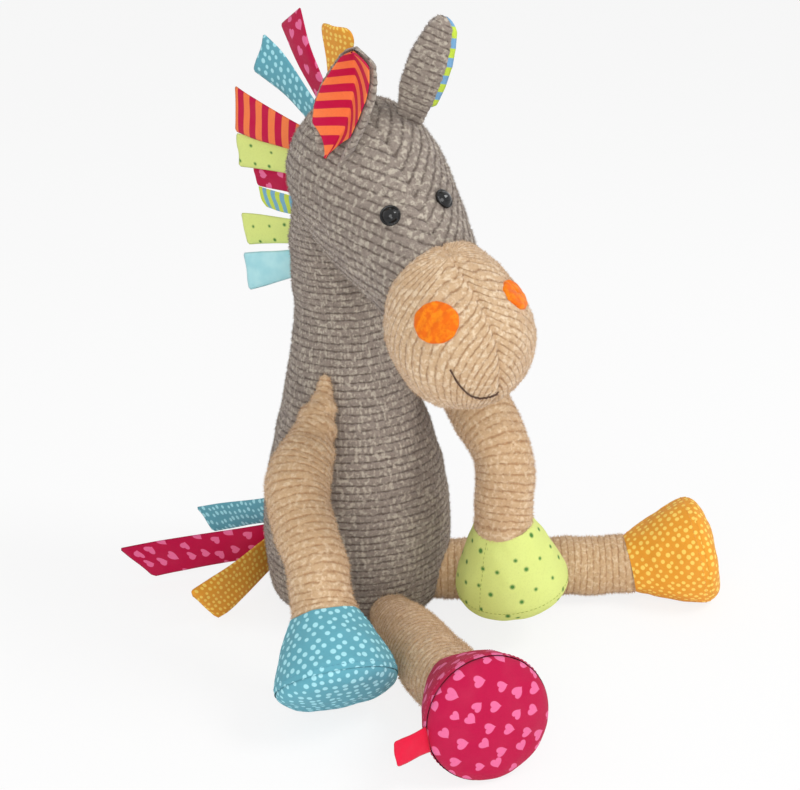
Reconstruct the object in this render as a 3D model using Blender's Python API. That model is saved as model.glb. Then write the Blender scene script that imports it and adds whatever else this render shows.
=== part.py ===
"""Seated plush horse: stuffed body, head, four limbs with cloth hooves, ears, mane and tail tabs.

The toy faces -Y, its right side is -X, and it sits on the plane z = 0 with its origin at the
middle of its seat. Lengths are metres and angles degrees.
"""
import math

import bmesh
import bpy
from mathutils import Matrix, Vector
from mathutils.bvhtree import BVHTree

for leftover in list(bpy.data.objects):
    bpy.data.objects.remove(leftover, do_unlink=True)

# General clearances
SEAM_GAP = 0.0003           # air between two sewn pieces
CUTTER_OVERRUN = 0.004      # how far a cutter passes what it cuts

FLOOR_DEPTH = 0.03          # cutter under the floor
FLOOR_REACH = 0.4

# Body
BODY_HEIGHT = 0.160         # seat to neck seam
BELLY_RADIUS = 0.0477
NECK_LEAN = 0.009           # how far the neck seam lies behind the seat
BODY_SIDES = 32
# share of the height, of the belly radius, of the lean, and of the neck's sideways tilt
BODY_ring_shares = (
    (0.0, 0.76, 0.0, 0.0), (0.018, 0.86, 0.0, 0.0), (0.05, 0.93, 0.0, 0.0), (0.10, 0.97, 0.0, 0.0),
    (0.18, 0.99, 0.0, 0.0), (0.26, 1.0, 0.0, 0.0), (0.36, 0.978, 0.0, 0.0), (0.47, 0.92, 0.03, 0.0),
    (0.57, 0.835, 0.12, 0.0), (0.67, 0.73, 0.32, 0.0), (0.77, 0.625, 0.6, 0.1), (0.86, 0.545, 0.82, 0.35),
    (0.94, 0.497, 0.95, 0.75), (1.0, 0.482, 1.0, 1.0),
)

# Head, in a frame of its own that starts at the middle of the neck seam
HEAD_TURN = -24.5           # towards the horse's right
HEAD_ROLL = -10.0           # leans to the horse's right
HEAD_ASIDE = 0.0048         # neck seam to the head's middle plane, to the horse's left
HEAD_FORWARD = 0.041        # seam to head centre, along the head's own forward
HEAD_RISE = 0.069
HEAD_RADIUS = 0.0342
MUZZLE_FORWARD = 0.1155
MUZZLE_RISE = 0.0100
MUZZLE_RADIUS = 0.0312
HEAD_SIDES = 32
# share of the way from head centre to muzzle centre, and of the head radius
HEAD_ring_shares = (
    (-0.395, 0.0), (-0.385, 0.24), (-0.35, 0.46), (-0.28, 0.70), (-0.19, 0.88), (-0.08, 0.98),
    (0.04, 1.015), (0.16, 1.005), (0.29, 0.955), (0.42, 0.88), (0.56, 0.785),
)
MUZZLE_SEAM_BACK = 0.0262   # muzzle centre to the seam with the head
# share of the way from that seam to the muzzle's front, and of the radius across
MUZZLE_ring_shares = (
    (0.0, 0.77), (0.08, 0.86), (0.2, 0.95), (0.32, 0.99), (0.45, 1.0), (0.58, 0.97), (0.69, 0.9),
    (0.79, 0.785), (0.88, 0.6), (0.945, 0.4), (0.985, 0.2), (1.0, 0.0),
)
# neck below the head: share of the head's rise and of its forward reach, of the neck's radius back
# and aside
NECK_ring_shares = (
    (0.0, 0.0, 1.0, 1.0), (0.24, 0.07, 1.04, 1.0), (0.48, 0.23, 1.13, 1.04), (0.75, 0.5, 1.2, 1.1),
    (1.0, 0.74, 1.2, 1.12), (1.2, 0.88, 1.0, 0.96),
)

# Eyes: a domed button with a stem, held inside the head by a washer
EYE_RADIUS = 0.005
EYE_RISE = 0.0034
EYE_STEM_RADIUS = 0.0015
EYE_STEM_LENGTH = 0.009
WASHER_RADIUS = 0.005
WASHER_THICKNESS = 0.0015
WASHER_DEPTH = 0.0055       # skin of the head to the washer
EYE_SIDES = 20
# shares of the radius and of the rise, from the rim to the top of the dome
EYE_dome_shares = ((0.96, 0.0), (1.0, 0.12), (0.92, 0.45), (0.71, 0.74), (0.38, 0.93), (0.0, 1.0))
# ray from the head centre that meets the skin at the eye: to the side, forward, up
EYE_ray_shares = (0.25, 0.96, -0.11)

# Nostrils and mouth on the muzzle
NOSTRIL_RADIUS = 0.0102
NOSTRIL_THICKNESS = 0.0012
NOSTRIL_SIDES = 24
NOSTRIL_ray_shares = (0.63, 0.51, 0.585)
MOUTH_THREAD_RADIUS = 0.0008
MOUTH_POINTS = 25
THREAD_SIDES = 6
MOUTH_HALF_ANGLE = 35.0     # how far the smile runs to each side of the muzzle's middle
MOUTH_DROP = 35.0           # below the muzzle's horizontal, at the middle
MOUTH_CURL = 34.0           # how far its corners rise

# Ears
EAR_LENGTH = 0.047
EAR_WIDTH = 0.030
EAR_THICKNESS = 0.0024
EAR_CUP = 0.0090            # how deep the ear is folded
LINING_THICKNESS = 0.0008
LINING_INSET = 0.0013
EAR_LEAN = 20.0             # forwards
EAR_SPREAD = 12.0           # to the horse's left, which undoes the head's roll
RIGHT_EAR_FACING = 54.0     # from straight ahead, outwards
LEFT_EAR_FACING = 106.0
# ray from the head centre to the ear's root: to the side, forward, up
RIGHT_EAR_ray_shares = (0.57, 0.58, 0.56)
LEFT_EAR_ray_shares = (0.64, 0.40, 0.70)
EAR_ROWS = 11
EAR_COLUMNS = 8
# share of the length, and of the half width
EAR_width_shares = (
    (0.0, 0.62), (0.12, 0.80), (0.3, 0.97), (0.45, 1.0), (0.62, 0.9), (0.78, 0.68), (0.9, 0.42), (1.0, 0.1),
)
EAR_SWING = 20.0            # each way, about its root
EAR_SINK = 0.004            # root length that the head cuts away

# Limbs
LIMB_SIDES = 18
LIMB_STEPS = 13
FORELEG_RADIUS = 0.0138
FORELEG_LENGTH = 0.120
SHOULDER_HEIGHT = 0.130
SHOULDER_ANGLE = 74.0       # from straight ahead, at the body
HINDLEG_RADIUS = 0.0150
HINDLEG_LENGTH = 0.100
HIP_HEIGHT = 0.0165
HIP_ANGLE = 31.0
SHOULDER_TOP = 0.138        # height of the shoulder's hinge
RIGHT_HIP_HINGE_ANGLE = 10.0    # inner edge of the seam
LEFT_HIP_HINGE_ANGLE = 53.0     # outer edge
# side (outwards), forward and up from the root, of the limb's length, and up, of the hoof's
# radius, because a foreleg's hoof rests on what is under it
RIGHT_FORELEG_path_shares = (
    (-0.02, 0.03, 0.05, 0.0), (0.213, 0.106, -0.218, 0.0), (0.357, 0.175, -0.432, 0.3),
    (0.473, 0.363, -0.726, 0.7), (0.531, 0.444, -0.925, 1.0),
)
LEFT_FORELEG_path_shares = (
    (-0.03, 0.0, 0.05, 0.0), (0.07, 0.25, -0.03, 0.0), (-0.09, 0.53, -0.225, 0.3),
    (-0.145, 0.68, -0.463, 0.7), (-0.18, 0.71, -0.798, 1.0),
)
RIGHT_HINDLEG_path_shares = (
    (-0.18, -0.3, 0.0, 0.0), (0.0, 0.0, 0.0, 0.0), (0.20, 0.30, 0.0, 0.0),
    (0.375, 0.565, 0.02, 0.0), (0.51, 0.78, 0.055, 0.0),
)
LEFT_HINDLEG_path_shares = (
    (-0.2, -0.25, 0.0, 0.0), (0.0, 0.0, 0.0, 0.0), (0.24, 0.28, 0.0, 0.0),
    (0.46, 0.53, 0.0, 0.0), (0.62, 0.73, 0.01, 0.0),
)
# how far each hoof's axis leans away from its limb's: side, back and up
RIGHT_FORE_HOOF_tilt_shares = (-0.15, -0.2, -0.1)
LEFT_FORE_HOOF_tilt_shares = (0.38, 0.1, 0.0)
RIGHT_HIND_HOOF_tilt_shares = (0.0, 0.0, 0.0)
LEFT_HIND_HOOF_tilt_shares = (0.0, 0.0, 0.2)
# share along the limb, and of its radius
FORELEG_swell_shares = (
    (0.0, 0.12), (0.06, 0.42), (0.14, 0.78), (0.24, 1.0), (0.4, 1.08), (0.6, 1.03), (0.85, 1.0),
    (1.0, 1.04),
)
HINDLEG_swell_shares = ((0.0, 1.0), (0.3, 1.04), (0.6, 1.0), (0.85, 0.97), (1.0, 1.0))

# Hooves: a cloth cone with a domed sole
HOOF_LENGTH = 0.0355
HOOF_RADIUS = 0.0280
HOOF_SIDES = 24
SOLE_DOME = 0.0085
# share of the length, and of the way from the limb's radius to the hoof's
HOOF_ring_shares = ((0.0, 0.0), (0.2, 0.24), (0.45, 0.52), (0.7, 0.78), (0.88, 0.95), (1.0, 1.0))
# share of the hoof radius, and of the sole's dome
SOLE_ring_shares = (
    (1.0, 0.0), (0.985, 0.14), (0.93, 0.36), (0.8, 0.62), (0.6, 0.84), (0.35, 0.96), (0.0, 1.0),
)

# Mane: flat cloth tabs that stand in the seam down the back of the head
TAB_THICKNESS = 0.0018
MANE_TAB_WIDTH = 0.020
MANE_TAB_LENGTH = 0.044
MANE_START = 0.0040         # neck seam to the lowest tab, along the seam down the back
MANE_PITCH = 0.0130
MANE_ROOT_WIDTH = 0.0118
# heading up from straight back, lean to the horse's right; shares for length, tip width and tip slant
MANE_tab_shares = (
    (112.0, 0.0, 0.92, 1.3, -0.4), (63.3, 2.6, 1.02, 0.92, 0.03), (44.0, 15.2, 1.16, 1.12, -0.13),
    (27.0, 31.1, 1.22, 1.17, -0.17), (15.3, 30.9, 1.19, 0.93, 0.04), (10.4, 26.5, 1.02, 0.55, -0.09),
    (8.8, 24.1, 0.99, 0.55, -0.31), (3.0, 32.0, 1.14, 0.86, -0.05), (-7.5, 40.0, 1.15, 1.0, 0.2),
)
# the seam is sampled between these angles up from straight back, seen from the head centre
SEAM_FROM, SEAM_TO = -62.0, 130.0
SEAM_STEPS = 96
SEAM_CHORD_STEPS = 6
TAB_corner_share = 0.2      # of the tip's width
# round root edge: shares of half the thickness, inwards and across
TAB_root_shares = ((0.92, 0.38), (0.71, 0.71), (0.0, 1.0))
# Tail: three longer tabs in the seam down the back of the body
TAIL_ROOT_WIDTH = 0.013
TAIL_TAB_WIDTH = 0.015
TAIL_TAB_LENGTH = 0.085
TAIL_HEIGHT = 0.030
TAIL_SPACING = 0.0042
# sideways heading from straight back to the horse's right, droop; shares for length, tip width and
# tip slant, and for the rise of the root, of its width
TAIL_tab_shares = (
    (0.0, 25.6, 0.86, 1.0, -0.67, 0.75), (48.0, 4.9, 1.03, 1.0, -1.05, -1.06),
    (98.0, 5.2, 0.90, 1.5, -0.72, -0.95),
)

# Ribbon loop on the right hind hoof
LABEL_WIDTH = 0.011
LABEL_LENGTH = 0.014
LABEL_ANGLE = 8.0           # round the hoof, from level
LABEL_TILT = 50.0           # towards the sole
LABEL_THICKNESS = 0.0012

# Roughness of the surfaces
FELTED = 0.9
GLOSSY = 0.08
SATIN = 0.4

SIDE = Vector((1.0, 0.0, 0.0))
BACK = Vector((0.0, 1.0, 0.0))
UP = Vector((0.0, 0.0, 1.0))
FULL_TURN = 2.0 * math.pi

GREY = (0.305, 0.255, 0.216)
BEIGE = (0.680, 0.485, 0.305)
ORANGE = (0.830, 0.352, 0.032)
CRIMSON = (0.546, 0.0, 0.064)
TURQUOISE = (0.102, 0.429, 0.546)
LIME = (0.680, 0.753, 0.144)
AQUA = (0.352, 0.660, 0.708)
BLACK = (0.006, 0.006, 0.007)
BROWN = (0.065, 0.035, 0.022)
NOSTRIL_ORANGE = (0.913, 0.205, 0.007)
LABEL_RED = (0.753, 0.0, 0.045)
WASHER_WHITE = (0.8, 0.8, 0.8)


def cloth(name, colour, roughness=FELTED):
    """A plain material of one colour."""
    material = bpy.data.materials.new(name)
    material.use_nodes = True
    shader = material.node_tree.nodes["Principled BSDF"]
    shader.inputs["Base Color"].default_value = (*colour, 1.0)
    shader.inputs["Roughness"].default_value = roughness
    shader.inputs["Metallic"].default_value = 0.0
    return material


def finish(name, bm, colour, roughness=FELTED, parent=None, guide=False, origin=None):
    """Turn a bmesh into an object, faces outwards and smooth, that turns about its origin."""
    bmesh.ops.recalc_face_normals(bm, faces=bm.faces)
    if origin is not None:
        bmesh.ops.translate(bm, verts=bm.verts, vec=-origin)
    mesh = bpy.data.meshes.new(name)
    bm.to_mesh(mesh)
    bm.free()
    mesh.shade_smooth()
    piece = bpy.data.objects.new(name, mesh)
    bpy.context.scene.collection.objects.link(piece)
    piece.data.materials.append(cloth(name, colour, roughness))
    piece.parent = parent
    if origin is not None:
        piece.location = origin
    if guide:
        piece.hide_render = True
        piece.display_type = "WIRE"
    return piece


def boolean(piece, other, operation):
    """Cut, join or intersect a piece with another object."""
    step = piece.modifiers.new(operation.lower(), "BOOLEAN")
    step.operation = operation
    step.object = other
    step.solver = "EXACT"


def skin_tree(piece):
    """Search tree of a piece's evaluated surface, in world space."""
    graph = bpy.context.evaluated_depsgraph_get()
    graph.update()
    evaluated = piece.evaluated_get(graph)
    bm = bmesh.new()
    bm.from_mesh(evaluated.to_mesh())
    bm.transform(piece.matrix_world)
    bm.normal_update()
    evaluated.to_mesh_clear()
    tree = BVHTree.FromBMesh(bm)
    bm.free()
    return tree


def meet(tree, start, direction):
    """Where a ray from inside a piece leaves it, and the outward normal there."""
    place, normal, _, _ = tree.ray_cast(start, direction.normalized())
    if normal.dot(direction) < 0.0:
        normal = -normal
    return place, normal


def oval(centre, side, up, half_width, half_height, count):
    """A ring of points round a centre."""
    points = []
    for step in range(count):
        angle = FULL_TURN * step / count
        points.append(centre + side * (half_width * math.cos(angle)) + up * (half_height * math.sin(angle)))
    return points


def loft(rings):
    """A closed skin through rings of points; a single point closes an end as a pole."""
    bm = bmesh.new()
    rows = [[bm.verts.new(point) for point in ring] for ring in rings]
    for lower, upper in zip(rows, rows[1:]):
        count = max(len(lower), len(upper))
        for step in range(count):
            after = (step + 1) % count
            if len(lower) == 1:
                bm.faces.new((lower[0], upper[step], upper[after]))
            elif len(upper) == 1:
                bm.faces.new((lower[step], lower[after], upper[0]))
            else:
                bm.faces.new((lower[step], lower[after], upper[after], upper[step]))
    for row in (rows[0], rows[-1]):
        if len(row) > 1:
            bm.faces.new(row)
    return bm


def turned(rows, start, axis, side, count):
    """A loft of round rings: rows of (distance along the axis, radius)."""
    across = axis.cross(side)
    rings = []
    for along, radius in rows:
        centre = start + axis * along
        rings.append(oval(centre, side, across, radius, radius, count) if radius > 0.0 else [centre])
    return loft(rings)


def blend_rows(rows, share):
    """Read a table of (share, value) rows between its points, smoothly."""
    for (low, first), (high, second) in zip(rows, rows[1:]):
        if share <= high:
            step = (share - low) / (high - low)
            return first + (second - first) * step
    return rows[-1][1]


def smooth_path(points, count):
    """Points and directions along a smooth curve through the given points."""
    ends = [points[0] * 2.0 - points[1], *points, points[-1] * 2.0 - points[-2]]
    spans = len(points) - 1
    path = []
    for step in range(count + 1):
        place = step * spans / count
        span = min(int(place), spans - 1)
        t = place - span
        a, b, c, d = ends[span:span + 4]
        spot = (b * 2.0 + (c - a) * t + (a * 2.0 - b * 5.0 + c * 4.0 - d) * t * t
                + (b * 3.0 - a - c * 3.0 + d) * t ** 3) * 0.5
        heading = ((c - a) + (a * 2.0 - b * 5.0 + c * 4.0 - d) * (2.0 * t)
                   + (b * 3.0 - a - c * 3.0 + d) * (3.0 * t * t)) * 0.5
        path.append((spot, heading.normalized()))
    return path


# Body
def body_rings(gap=0.0):
    rings = []
    for height, radius, lean, tilt in BODY_ring_shares:
        turn = Matrix.Rotation(math.radians(HEAD_TURN), 3, "Z")
        turn = turn @ Matrix.Rotation(math.radians(HEAD_ROLL * tilt), 3, "Y")
        centre = UP * (BODY_HEIGHT * height) + BACK * (NECK_LEAN * lean)
        reach = BELLY_RADIUS * radius + gap
        rings.append(oval(centre, turn @ SIDE, turn @ BACK, reach, reach, BODY_SIDES))
    return rings


body = finish("body", loft(body_rings()), GREY)
body_swell = finish("body_clearance", loft(body_rings(SEAM_GAP)), GREY, guide=True)
body_skin = skin_tree(body)

# Head
neck_seam = bpy.data.objects.new("neck_seam", None)
bpy.context.scene.collection.objects.link(neck_seam)
head_turning = Matrix.Rotation(math.radians(HEAD_TURN), 3, "Z")
head_turning = head_turning @ Matrix.Rotation(math.radians(HEAD_ROLL), 3, "Y")
neck_centre = UP * BODY_HEIGHT + BACK * NECK_LEAN
neck_seam.matrix_world = Matrix.Translation(neck_centre) @ head_turning.to_4x4()
bpy.context.view_layer.update()
head_centre = Vector((HEAD_ASIDE, -HEAD_FORWARD, HEAD_RISE))
muzzle_centre = Vector((HEAD_ASIDE, -MUZZLE_FORWARD, MUZZLE_RISE))
snout = (muzzle_centre - head_centre).normalized()
snout_length = (muzzle_centre - head_centre).length
NECK_RADIUS = BELLY_RADIUS * BODY_ring_shares[-1][1]


def head_form(name, gap=0.0, guide=False):
    """The head's egg, joined to the neck under it, all larger by the gap."""
    rows = [(snout_length * HEAD_ring_shares[0][0] - gap, 0.0)]
    for along, radius in HEAD_ring_shares[1:]:
        rows.append((snout_length * along, HEAD_RADIUS * radius + gap))
    rows.append((snout_length - MUZZLE_SEAM_BACK + gap, MUZZLE_RADIUS * MUZZLE_ring_shares[0][1] + gap))
    egg = finish(name, turned(rows, head_centre, snout, SIDE, HEAD_SIDES), GREY, parent=neck_seam,
                 guide=guide)
    rings = []
    for rise, reach, deep, wide in NECK_ring_shares:
        centre = UP * (SEAM_GAP + (HEAD_RISE - SEAM_GAP) * rise - (gap if rise == 0.0 else 0.0))
        centre += SIDE * (HEAD_ASIDE * reach) - BACK * (HEAD_FORWARD * reach)
        half_width, half_depth = NECK_RADIUS * wide + gap, NECK_RADIUS * deep + gap
        rings.append(oval(centre, SIDE, BACK, half_width, half_depth, HEAD_SIDES))
    neck = finish(name + "_neck", loft(rings), GREY, parent=neck_seam, guide=True)
    boolean(egg, neck, "UNION")
    return egg


head = head_form("head")
head_swell = head_form("head_clearance", SEAM_GAP, guide=True)
to_head = neck_seam.matrix_world.inverted()
head_tree_world = skin_tree(head)


def on_head(shares):
    """Where the ray from the head centre, by its shares of side, forward and up, meets the skin."""
    side, forward, up = shares
    ray = Vector((side, -forward, up))
    start = neck_seam.matrix_world @ head_centre
    place, normal = meet(head_tree_world, start, head_turning @ ray)
    return to_head @ place, head_turning.inverted() @ normal


def muzzle_rows(gap=0.0):
    start = SEAM_GAP - MUZZLE_SEAM_BACK
    rows = []
    for along, radius in MUZZLE_ring_shares:
        rows.append((start + (MUZZLE_RADIUS - start) * along, MUZZLE_RADIUS * radius + gap))
    rows[0] = (rows[0][0] - gap, rows[0][1])
    rows[-1] = (rows[-1][0] + gap, 0.0)
    return rows


muzzle = finish("muzzle", turned(muzzle_rows(), muzzle_centre, snout, SIDE, HEAD_SIDES), BEIGE,
                parent=neck_seam)
muzzle_tree = skin_tree(muzzle)


def on_muzzle(ray):
    """Where a ray from the muzzle centre meets its skin, in the head's frame."""
    start = neck_seam.matrix_world @ muzzle_centre
    place, normal = meet(muzzle_tree, start, head_turning @ ray)
    return to_head @ place, head_turning.inverted() @ normal


# Eyes, washers and nostrils
for hand, sign in (("right", -1.0), ("left", 1.0)):
    side, forward, up = EYE_ray_shares
    place, normal = on_head((side * sign, forward, up))
    across = normal.orthogonal().normalized()
    dome = [(-EYE_STEM_LENGTH, 0.0), (-EYE_STEM_LENGTH, EYE_STEM_RADIUS), (0.0, EYE_STEM_RADIUS)]
    for share, rise in EYE_dome_shares:
        dome.append((EYE_RISE * rise, EYE_RADIUS * share))
    finish(hand + "_eye", turned(dome, place + normal * SEAM_GAP, normal, across, EYE_SIDES), BLACK, GLOSSY,
           neck_seam)
    room = EYE_STEM_RADIUS + SEAM_GAP
    floor_depth = -EYE_STEM_LENGTH - SEAM_GAP
    roof_depth = -WASHER_DEPTH + SEAM_GAP
    pocket = turned([(floor_depth, 0.0), (floor_depth, WASHER_RADIUS + SEAM_GAP),
                     (roof_depth, WASHER_RADIUS + SEAM_GAP), (roof_depth, room),
                     (CUTTER_OVERRUN, room), (CUTTER_OVERRUN, 0.0)], place, normal, across, EYE_SIDES)
    boolean(head, finish(hand + "_eye_pocket", pocket, GREY, parent=neck_seam, guide=True), "DIFFERENCE")
    seat = place - normal * WASHER_DEPTH
    disc = turned([(0.0, 0.0), (0.0, WASHER_RADIUS), (-WASHER_THICKNESS, WASHER_RADIUS),
                   (-WASHER_THICKNESS, 0.0)], seat, normal, across, EYE_SIDES)
    washer = finish(hand + "_eye_washer", disc, WASHER_WHITE, SATIN, neck_seam)
    hole = turned([(-WASHER_THICKNESS - CUTTER_OVERRUN, 0.0), (-WASHER_THICKNESS - CUTTER_OVERRUN, room),
                   (CUTTER_OVERRUN, room), (CUTTER_OVERRUN, 0.0)], seat, normal, across, EYE_SIDES)
    boolean(washer, finish(hand + "_washer_hole", hole, GREY, parent=neck_seam, guide=True), "DIFFERENCE")

    side, forward, up = NOSTRIL_ray_shares
    place, normal = on_muzzle(Vector((side * sign, -forward, up)))
    across = normal.orthogonal().normalized()
    plug = turned([(-NOSTRIL_RADIUS, 0.0), (-NOSTRIL_RADIUS, NOSTRIL_RADIUS),
                   (NOSTRIL_RADIUS, NOSTRIL_RADIUS), (NOSTRIL_RADIUS, 0.0)],
                  place, normal, across, NOSTRIL_SIDES)
    nostril = finish(hand + "_nostril", plug, NOSTRIL_ORANGE, parent=neck_seam)
    for layer, gap, operation in (("top", SEAM_GAP + NOSTRIL_THICKNESS, "INTERSECT"),
                                  ("seat", SEAM_GAP, "DIFFERENCE")):
        skin = turned(muzzle_rows(gap), muzzle_centre, snout, SIDE, HEAD_SIDES)
        boolean(nostril, finish(f"{hand}_nostril_{layer}", skin, BEIGE, parent=neck_seam, guide=True),
                operation)

# Mouth: a line of dark thread, sewn in a smile on the front of the muzzle
stitch_points = []
for step in range(MOUTH_POINTS):
    share = 2.0 * step / (MOUTH_POINTS - 1) - 1.0
    sideways = math.radians(MOUTH_HALF_ANGLE * share)
    down = math.radians(MOUTH_DROP - MOUTH_CURL * share ** 4)
    level = math.cos(down)
    ray = Vector((math.sin(sideways) * level, -math.cos(sideways) * level, -math.sin(down)))
    place, normal = on_muzzle(ray)
    stitch_points.append((place + normal * (MOUTH_THREAD_RADIUS + SEAM_GAP), normal))
thread_rings = []
for step, (place, normal) in enumerate(stitch_points):
    before = stitch_points[max(step - 1, 0)][0]
    after = stitch_points[min(step + 1, MOUTH_POINTS - 1)][0]
    across = (after - before).normalized().cross(normal).normalized()
    thread_rings.append(oval(place, across, normal, MOUTH_THREAD_RADIUS, MOUTH_THREAD_RADIUS, THREAD_SIDES))
finish("mouth_thread", loft(thread_rings), BROWN, parent=neck_seam)


# Ears
def ear_skin(frame, low, high, inset, sink):
    """A cupped leaf between two depths, narrower by the inset."""
    def point(row, column, depth):
        along = row / (EAR_ROWS - 1)
        across = 2.0 * column / EAR_COLUMNS - 1.0
        half = max(EAR_WIDTH * 0.5 * blend_rows(EAR_width_shares, along) - inset, LINING_THICKNESS)
        height = -sink + (EAR_LENGTH + sink - 2.0 * inset) * along + inset
        cup = EAR_CUP * (1.0 - across * across) * blend_rows(EAR_width_shares, along)
        return frame @ Vector((half * across, cup + depth, height))
    bm = bmesh.new()
    sheets = []
    for depth in (low, high):
        columns = range(EAR_COLUMNS + 1)
        sheets.append([[bm.verts.new(point(row, column, depth)) for column in columns]
                       for row in range(EAR_ROWS)])
    for sheet in sheets:
        for row in range(EAR_ROWS - 1):
            for column in range(EAR_COLUMNS):
                bm.faces.new((sheet[row][column], sheet[row][column + 1],
                              sheet[row + 1][column + 1], sheet[row + 1][column]))
    edge = [(0, column) for column in range(EAR_COLUMNS)]
    edge += [(row, EAR_COLUMNS) for row in range(EAR_ROWS - 1)]
    edge += [(EAR_ROWS - 1, column) for column in range(EAR_COLUMNS, 0, -1)]
    edge += [(row, 0) for row in range(EAR_ROWS - 1, 0, -1)]
    for (row, column), (row_after, column_after) in zip(edge, edge[1:] + edge[:1]):
        bm.faces.new((sheets[0][row][column], sheets[0][row_after][column_after],
                      sheets[1][row_after][column_after], sheets[1][row][column]))
    return bm


for hand, sign, facing, ray_shares in (("right", -1.0, RIGHT_EAR_FACING, RIGHT_EAR_ray_shares),
                                       ("left", 1.0, LEFT_EAR_FACING, LEFT_EAR_ray_shares)):
    side, forward, up = ray_shares
    place, normal = on_head((side * sign, forward, up))
    turn = Matrix.Rotation(math.radians(EAR_LEAN), 4, "X")
    turn = turn @ Matrix.Rotation(math.radians(EAR_SPREAD), 4, "Y")
    turn = turn @ Matrix.Rotation(math.radians(facing * sign), 4, "Z")
    crease = turn.to_3x3() @ SIDE
    frame = Matrix.Translation(place) @ turn
    root = frame @ (BACK * (EAR_CUP * EAR_width_shares[0][1] * 0.5))
    outer = ear_skin(frame, 0.0, EAR_THICKNESS, 0.0, EAR_SINK)
    ear = finish(hand + "_ear", outer, GREY, parent=neck_seam, origin=root)
    inner = ear_skin(frame, -SEAM_GAP - LINING_THICKNESS, -SEAM_GAP, LINING_INSET, EAR_SINK)
    lining = finish(hand + "_ear_lining", inner, CRIMSON, parent=neck_seam, origin=root)
    for swing in (-EAR_SWING, 0.0, EAR_SWING):
        room = head_form(f"{hand}_ear_room_{swing:.0f}", SEAM_GAP, guide=True)
        about = Matrix.Rotation(math.radians(swing), 4, crease)
        room.matrix_local = Matrix.Translation(root) @ about @ Matrix.Translation(-root)
        room.modifiers[0].object.matrix_local = room.matrix_local
        boolean(ear, room, "DIFFERENCE")
        boolean(lining, room, "DIFFERENCE")


# Limbs and hooves, flat where they touch the floor
floor_block = turned([(-FLOOR_DEPTH, 0.0), (-FLOOR_DEPTH, FLOOR_REACH), (0.0, FLOOR_REACH), (0.0, 0.0)],
                     Vector((0.0, 0.0, 0.0)), UP, SIDE, BODY_SIDES)
floor = finish("floor_cutter", floor_block, GREY, guide=True)


def limb(name, sign, anchor, path_shares, length, radius, swell, twist_up, tilt, origin):
    """A stuffed limb along its path, cut by the body at its root: its end, and the hoof's axis."""
    points = [anchor + Vector((side * sign, -forward, up)) * length + UP * (HOOF_RADIUS * rise)
              for side, forward, up, rise in path_shares]
    path = smooth_path(points, LIMB_STEPS)
    end, heading = path[-1]
    axis = (heading + tilt).normalized()
    path[-1] = (end, axis)
    path[-2] = (path[-2][0], (path[-2][1] + axis).normalized())
    rings = []
    for step, (spot, heading) in enumerate(path):
        side = heading.cross(twist_up).normalized()
        reach = radius * blend_rows(swell, step / LIMB_STEPS)
        rings.append(oval(spot, side, side.cross(heading), reach, reach, LIMB_SIDES))
    leg = finish(name, loft(rings), BEIGE, origin=origin)
    boolean(leg, body_swell, "DIFFERENCE")
    boolean(leg, floor, "DIFFERENCE")
    return path[-1]


def hoof(name, end, axis, ring_radius, colour, origin):
    """A cloth cone at the end of a limb, and its domed sole."""
    side = axis.cross(UP).normalized()
    start = end + axis * SEAM_GAP
    flare = HOOF_RADIUS - ring_radius
    rows = [(HOOF_LENGTH * along, ring_radius + flare * wide) for along, wide in HOOF_ring_shares]
    cone = finish(name + "_hoof", turned(rows, start, axis, side, HOOF_SIDES), colour, origin=origin)
    boolean(cone, floor, "DIFFERENCE")
    rim = start + axis * (HOOF_LENGTH + SEAM_GAP)
    rows = [(SOLE_DOME * rise, HOOF_RADIUS * wide) for wide, rise in SOLE_ring_shares]
    sole = finish(name + "_sole", turned(rows, rim, axis, side, HOOF_SIDES), colour, origin=origin)
    boolean(sole, floor, "DIFFERENCE")
    return rim, axis, side


def body_anchor(angle, height, sign):
    outward = Vector((math.sin(math.radians(angle)) * sign, -math.cos(math.radians(angle)), 0.0))
    share = height / BODY_HEIGHT
    lean = NECK_LEAN * blend_rows([(row[0], row[2]) for row in BODY_ring_shares], share)
    reach = BELLY_RADIUS * blend_rows([(row[0], row[1]) for row in BODY_ring_shares], share)
    return outward * reach + BACK * lean + UP * height


FORELEG = (SHOULDER_ANGLE, SHOULDER_HEIGHT, FORELEG_LENGTH, FORELEG_RADIUS, FORELEG_swell_shares, -BACK)
HINDLEG = (HIP_ANGLE, HIP_HEIGHT, HINDLEG_LENGTH, HINDLEG_RADIUS, HINDLEG_swell_shares, UP)
LIMB_PLACES = (
    ("right_foreleg", -1.0, FORELEG, RIGHT_FORELEG_path_shares, RIGHT_FORE_HOOF_tilt_shares, TURQUOISE,
     body_anchor(SHOULDER_ANGLE, SHOULDER_TOP, -1.0)),
    ("left_foreleg", 1.0, FORELEG, LEFT_FORELEG_path_shares, LEFT_FORE_HOOF_tilt_shares, LIME,
     body_anchor(SHOULDER_ANGLE, SHOULDER_TOP, 1.0)),
    ("right_hindleg", -1.0, HINDLEG, RIGHT_HINDLEG_path_shares, RIGHT_HIND_HOOF_tilt_shares, CRIMSON,
     body_anchor(RIGHT_HIP_HINGE_ANGLE, HIP_HEIGHT, -1.0)),
    ("left_hindleg", 1.0, HINDLEG, LEFT_HINDLEG_path_shares, LEFT_HIND_HOOF_tilt_shares, ORANGE,
     body_anchor(LEFT_HIP_HINGE_ANGLE, HIP_HEIGHT, 1.0)),
)
hoof_places = {}
for name, sign, sizes, path_shares, tilt, colour, hinge in LIMB_PLACES:
    angle, height, length, radius, swell, twist = sizes
    anchor = body_anchor(angle, height, sign)
    end, axis = limb(name, sign, anchor, path_shares, length, radius, swell, twist, Vector(tilt), hinge)
    hoof_places[name] = hoof(name, end, axis, radius * swell[-1][1], colour, hinge)


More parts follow.
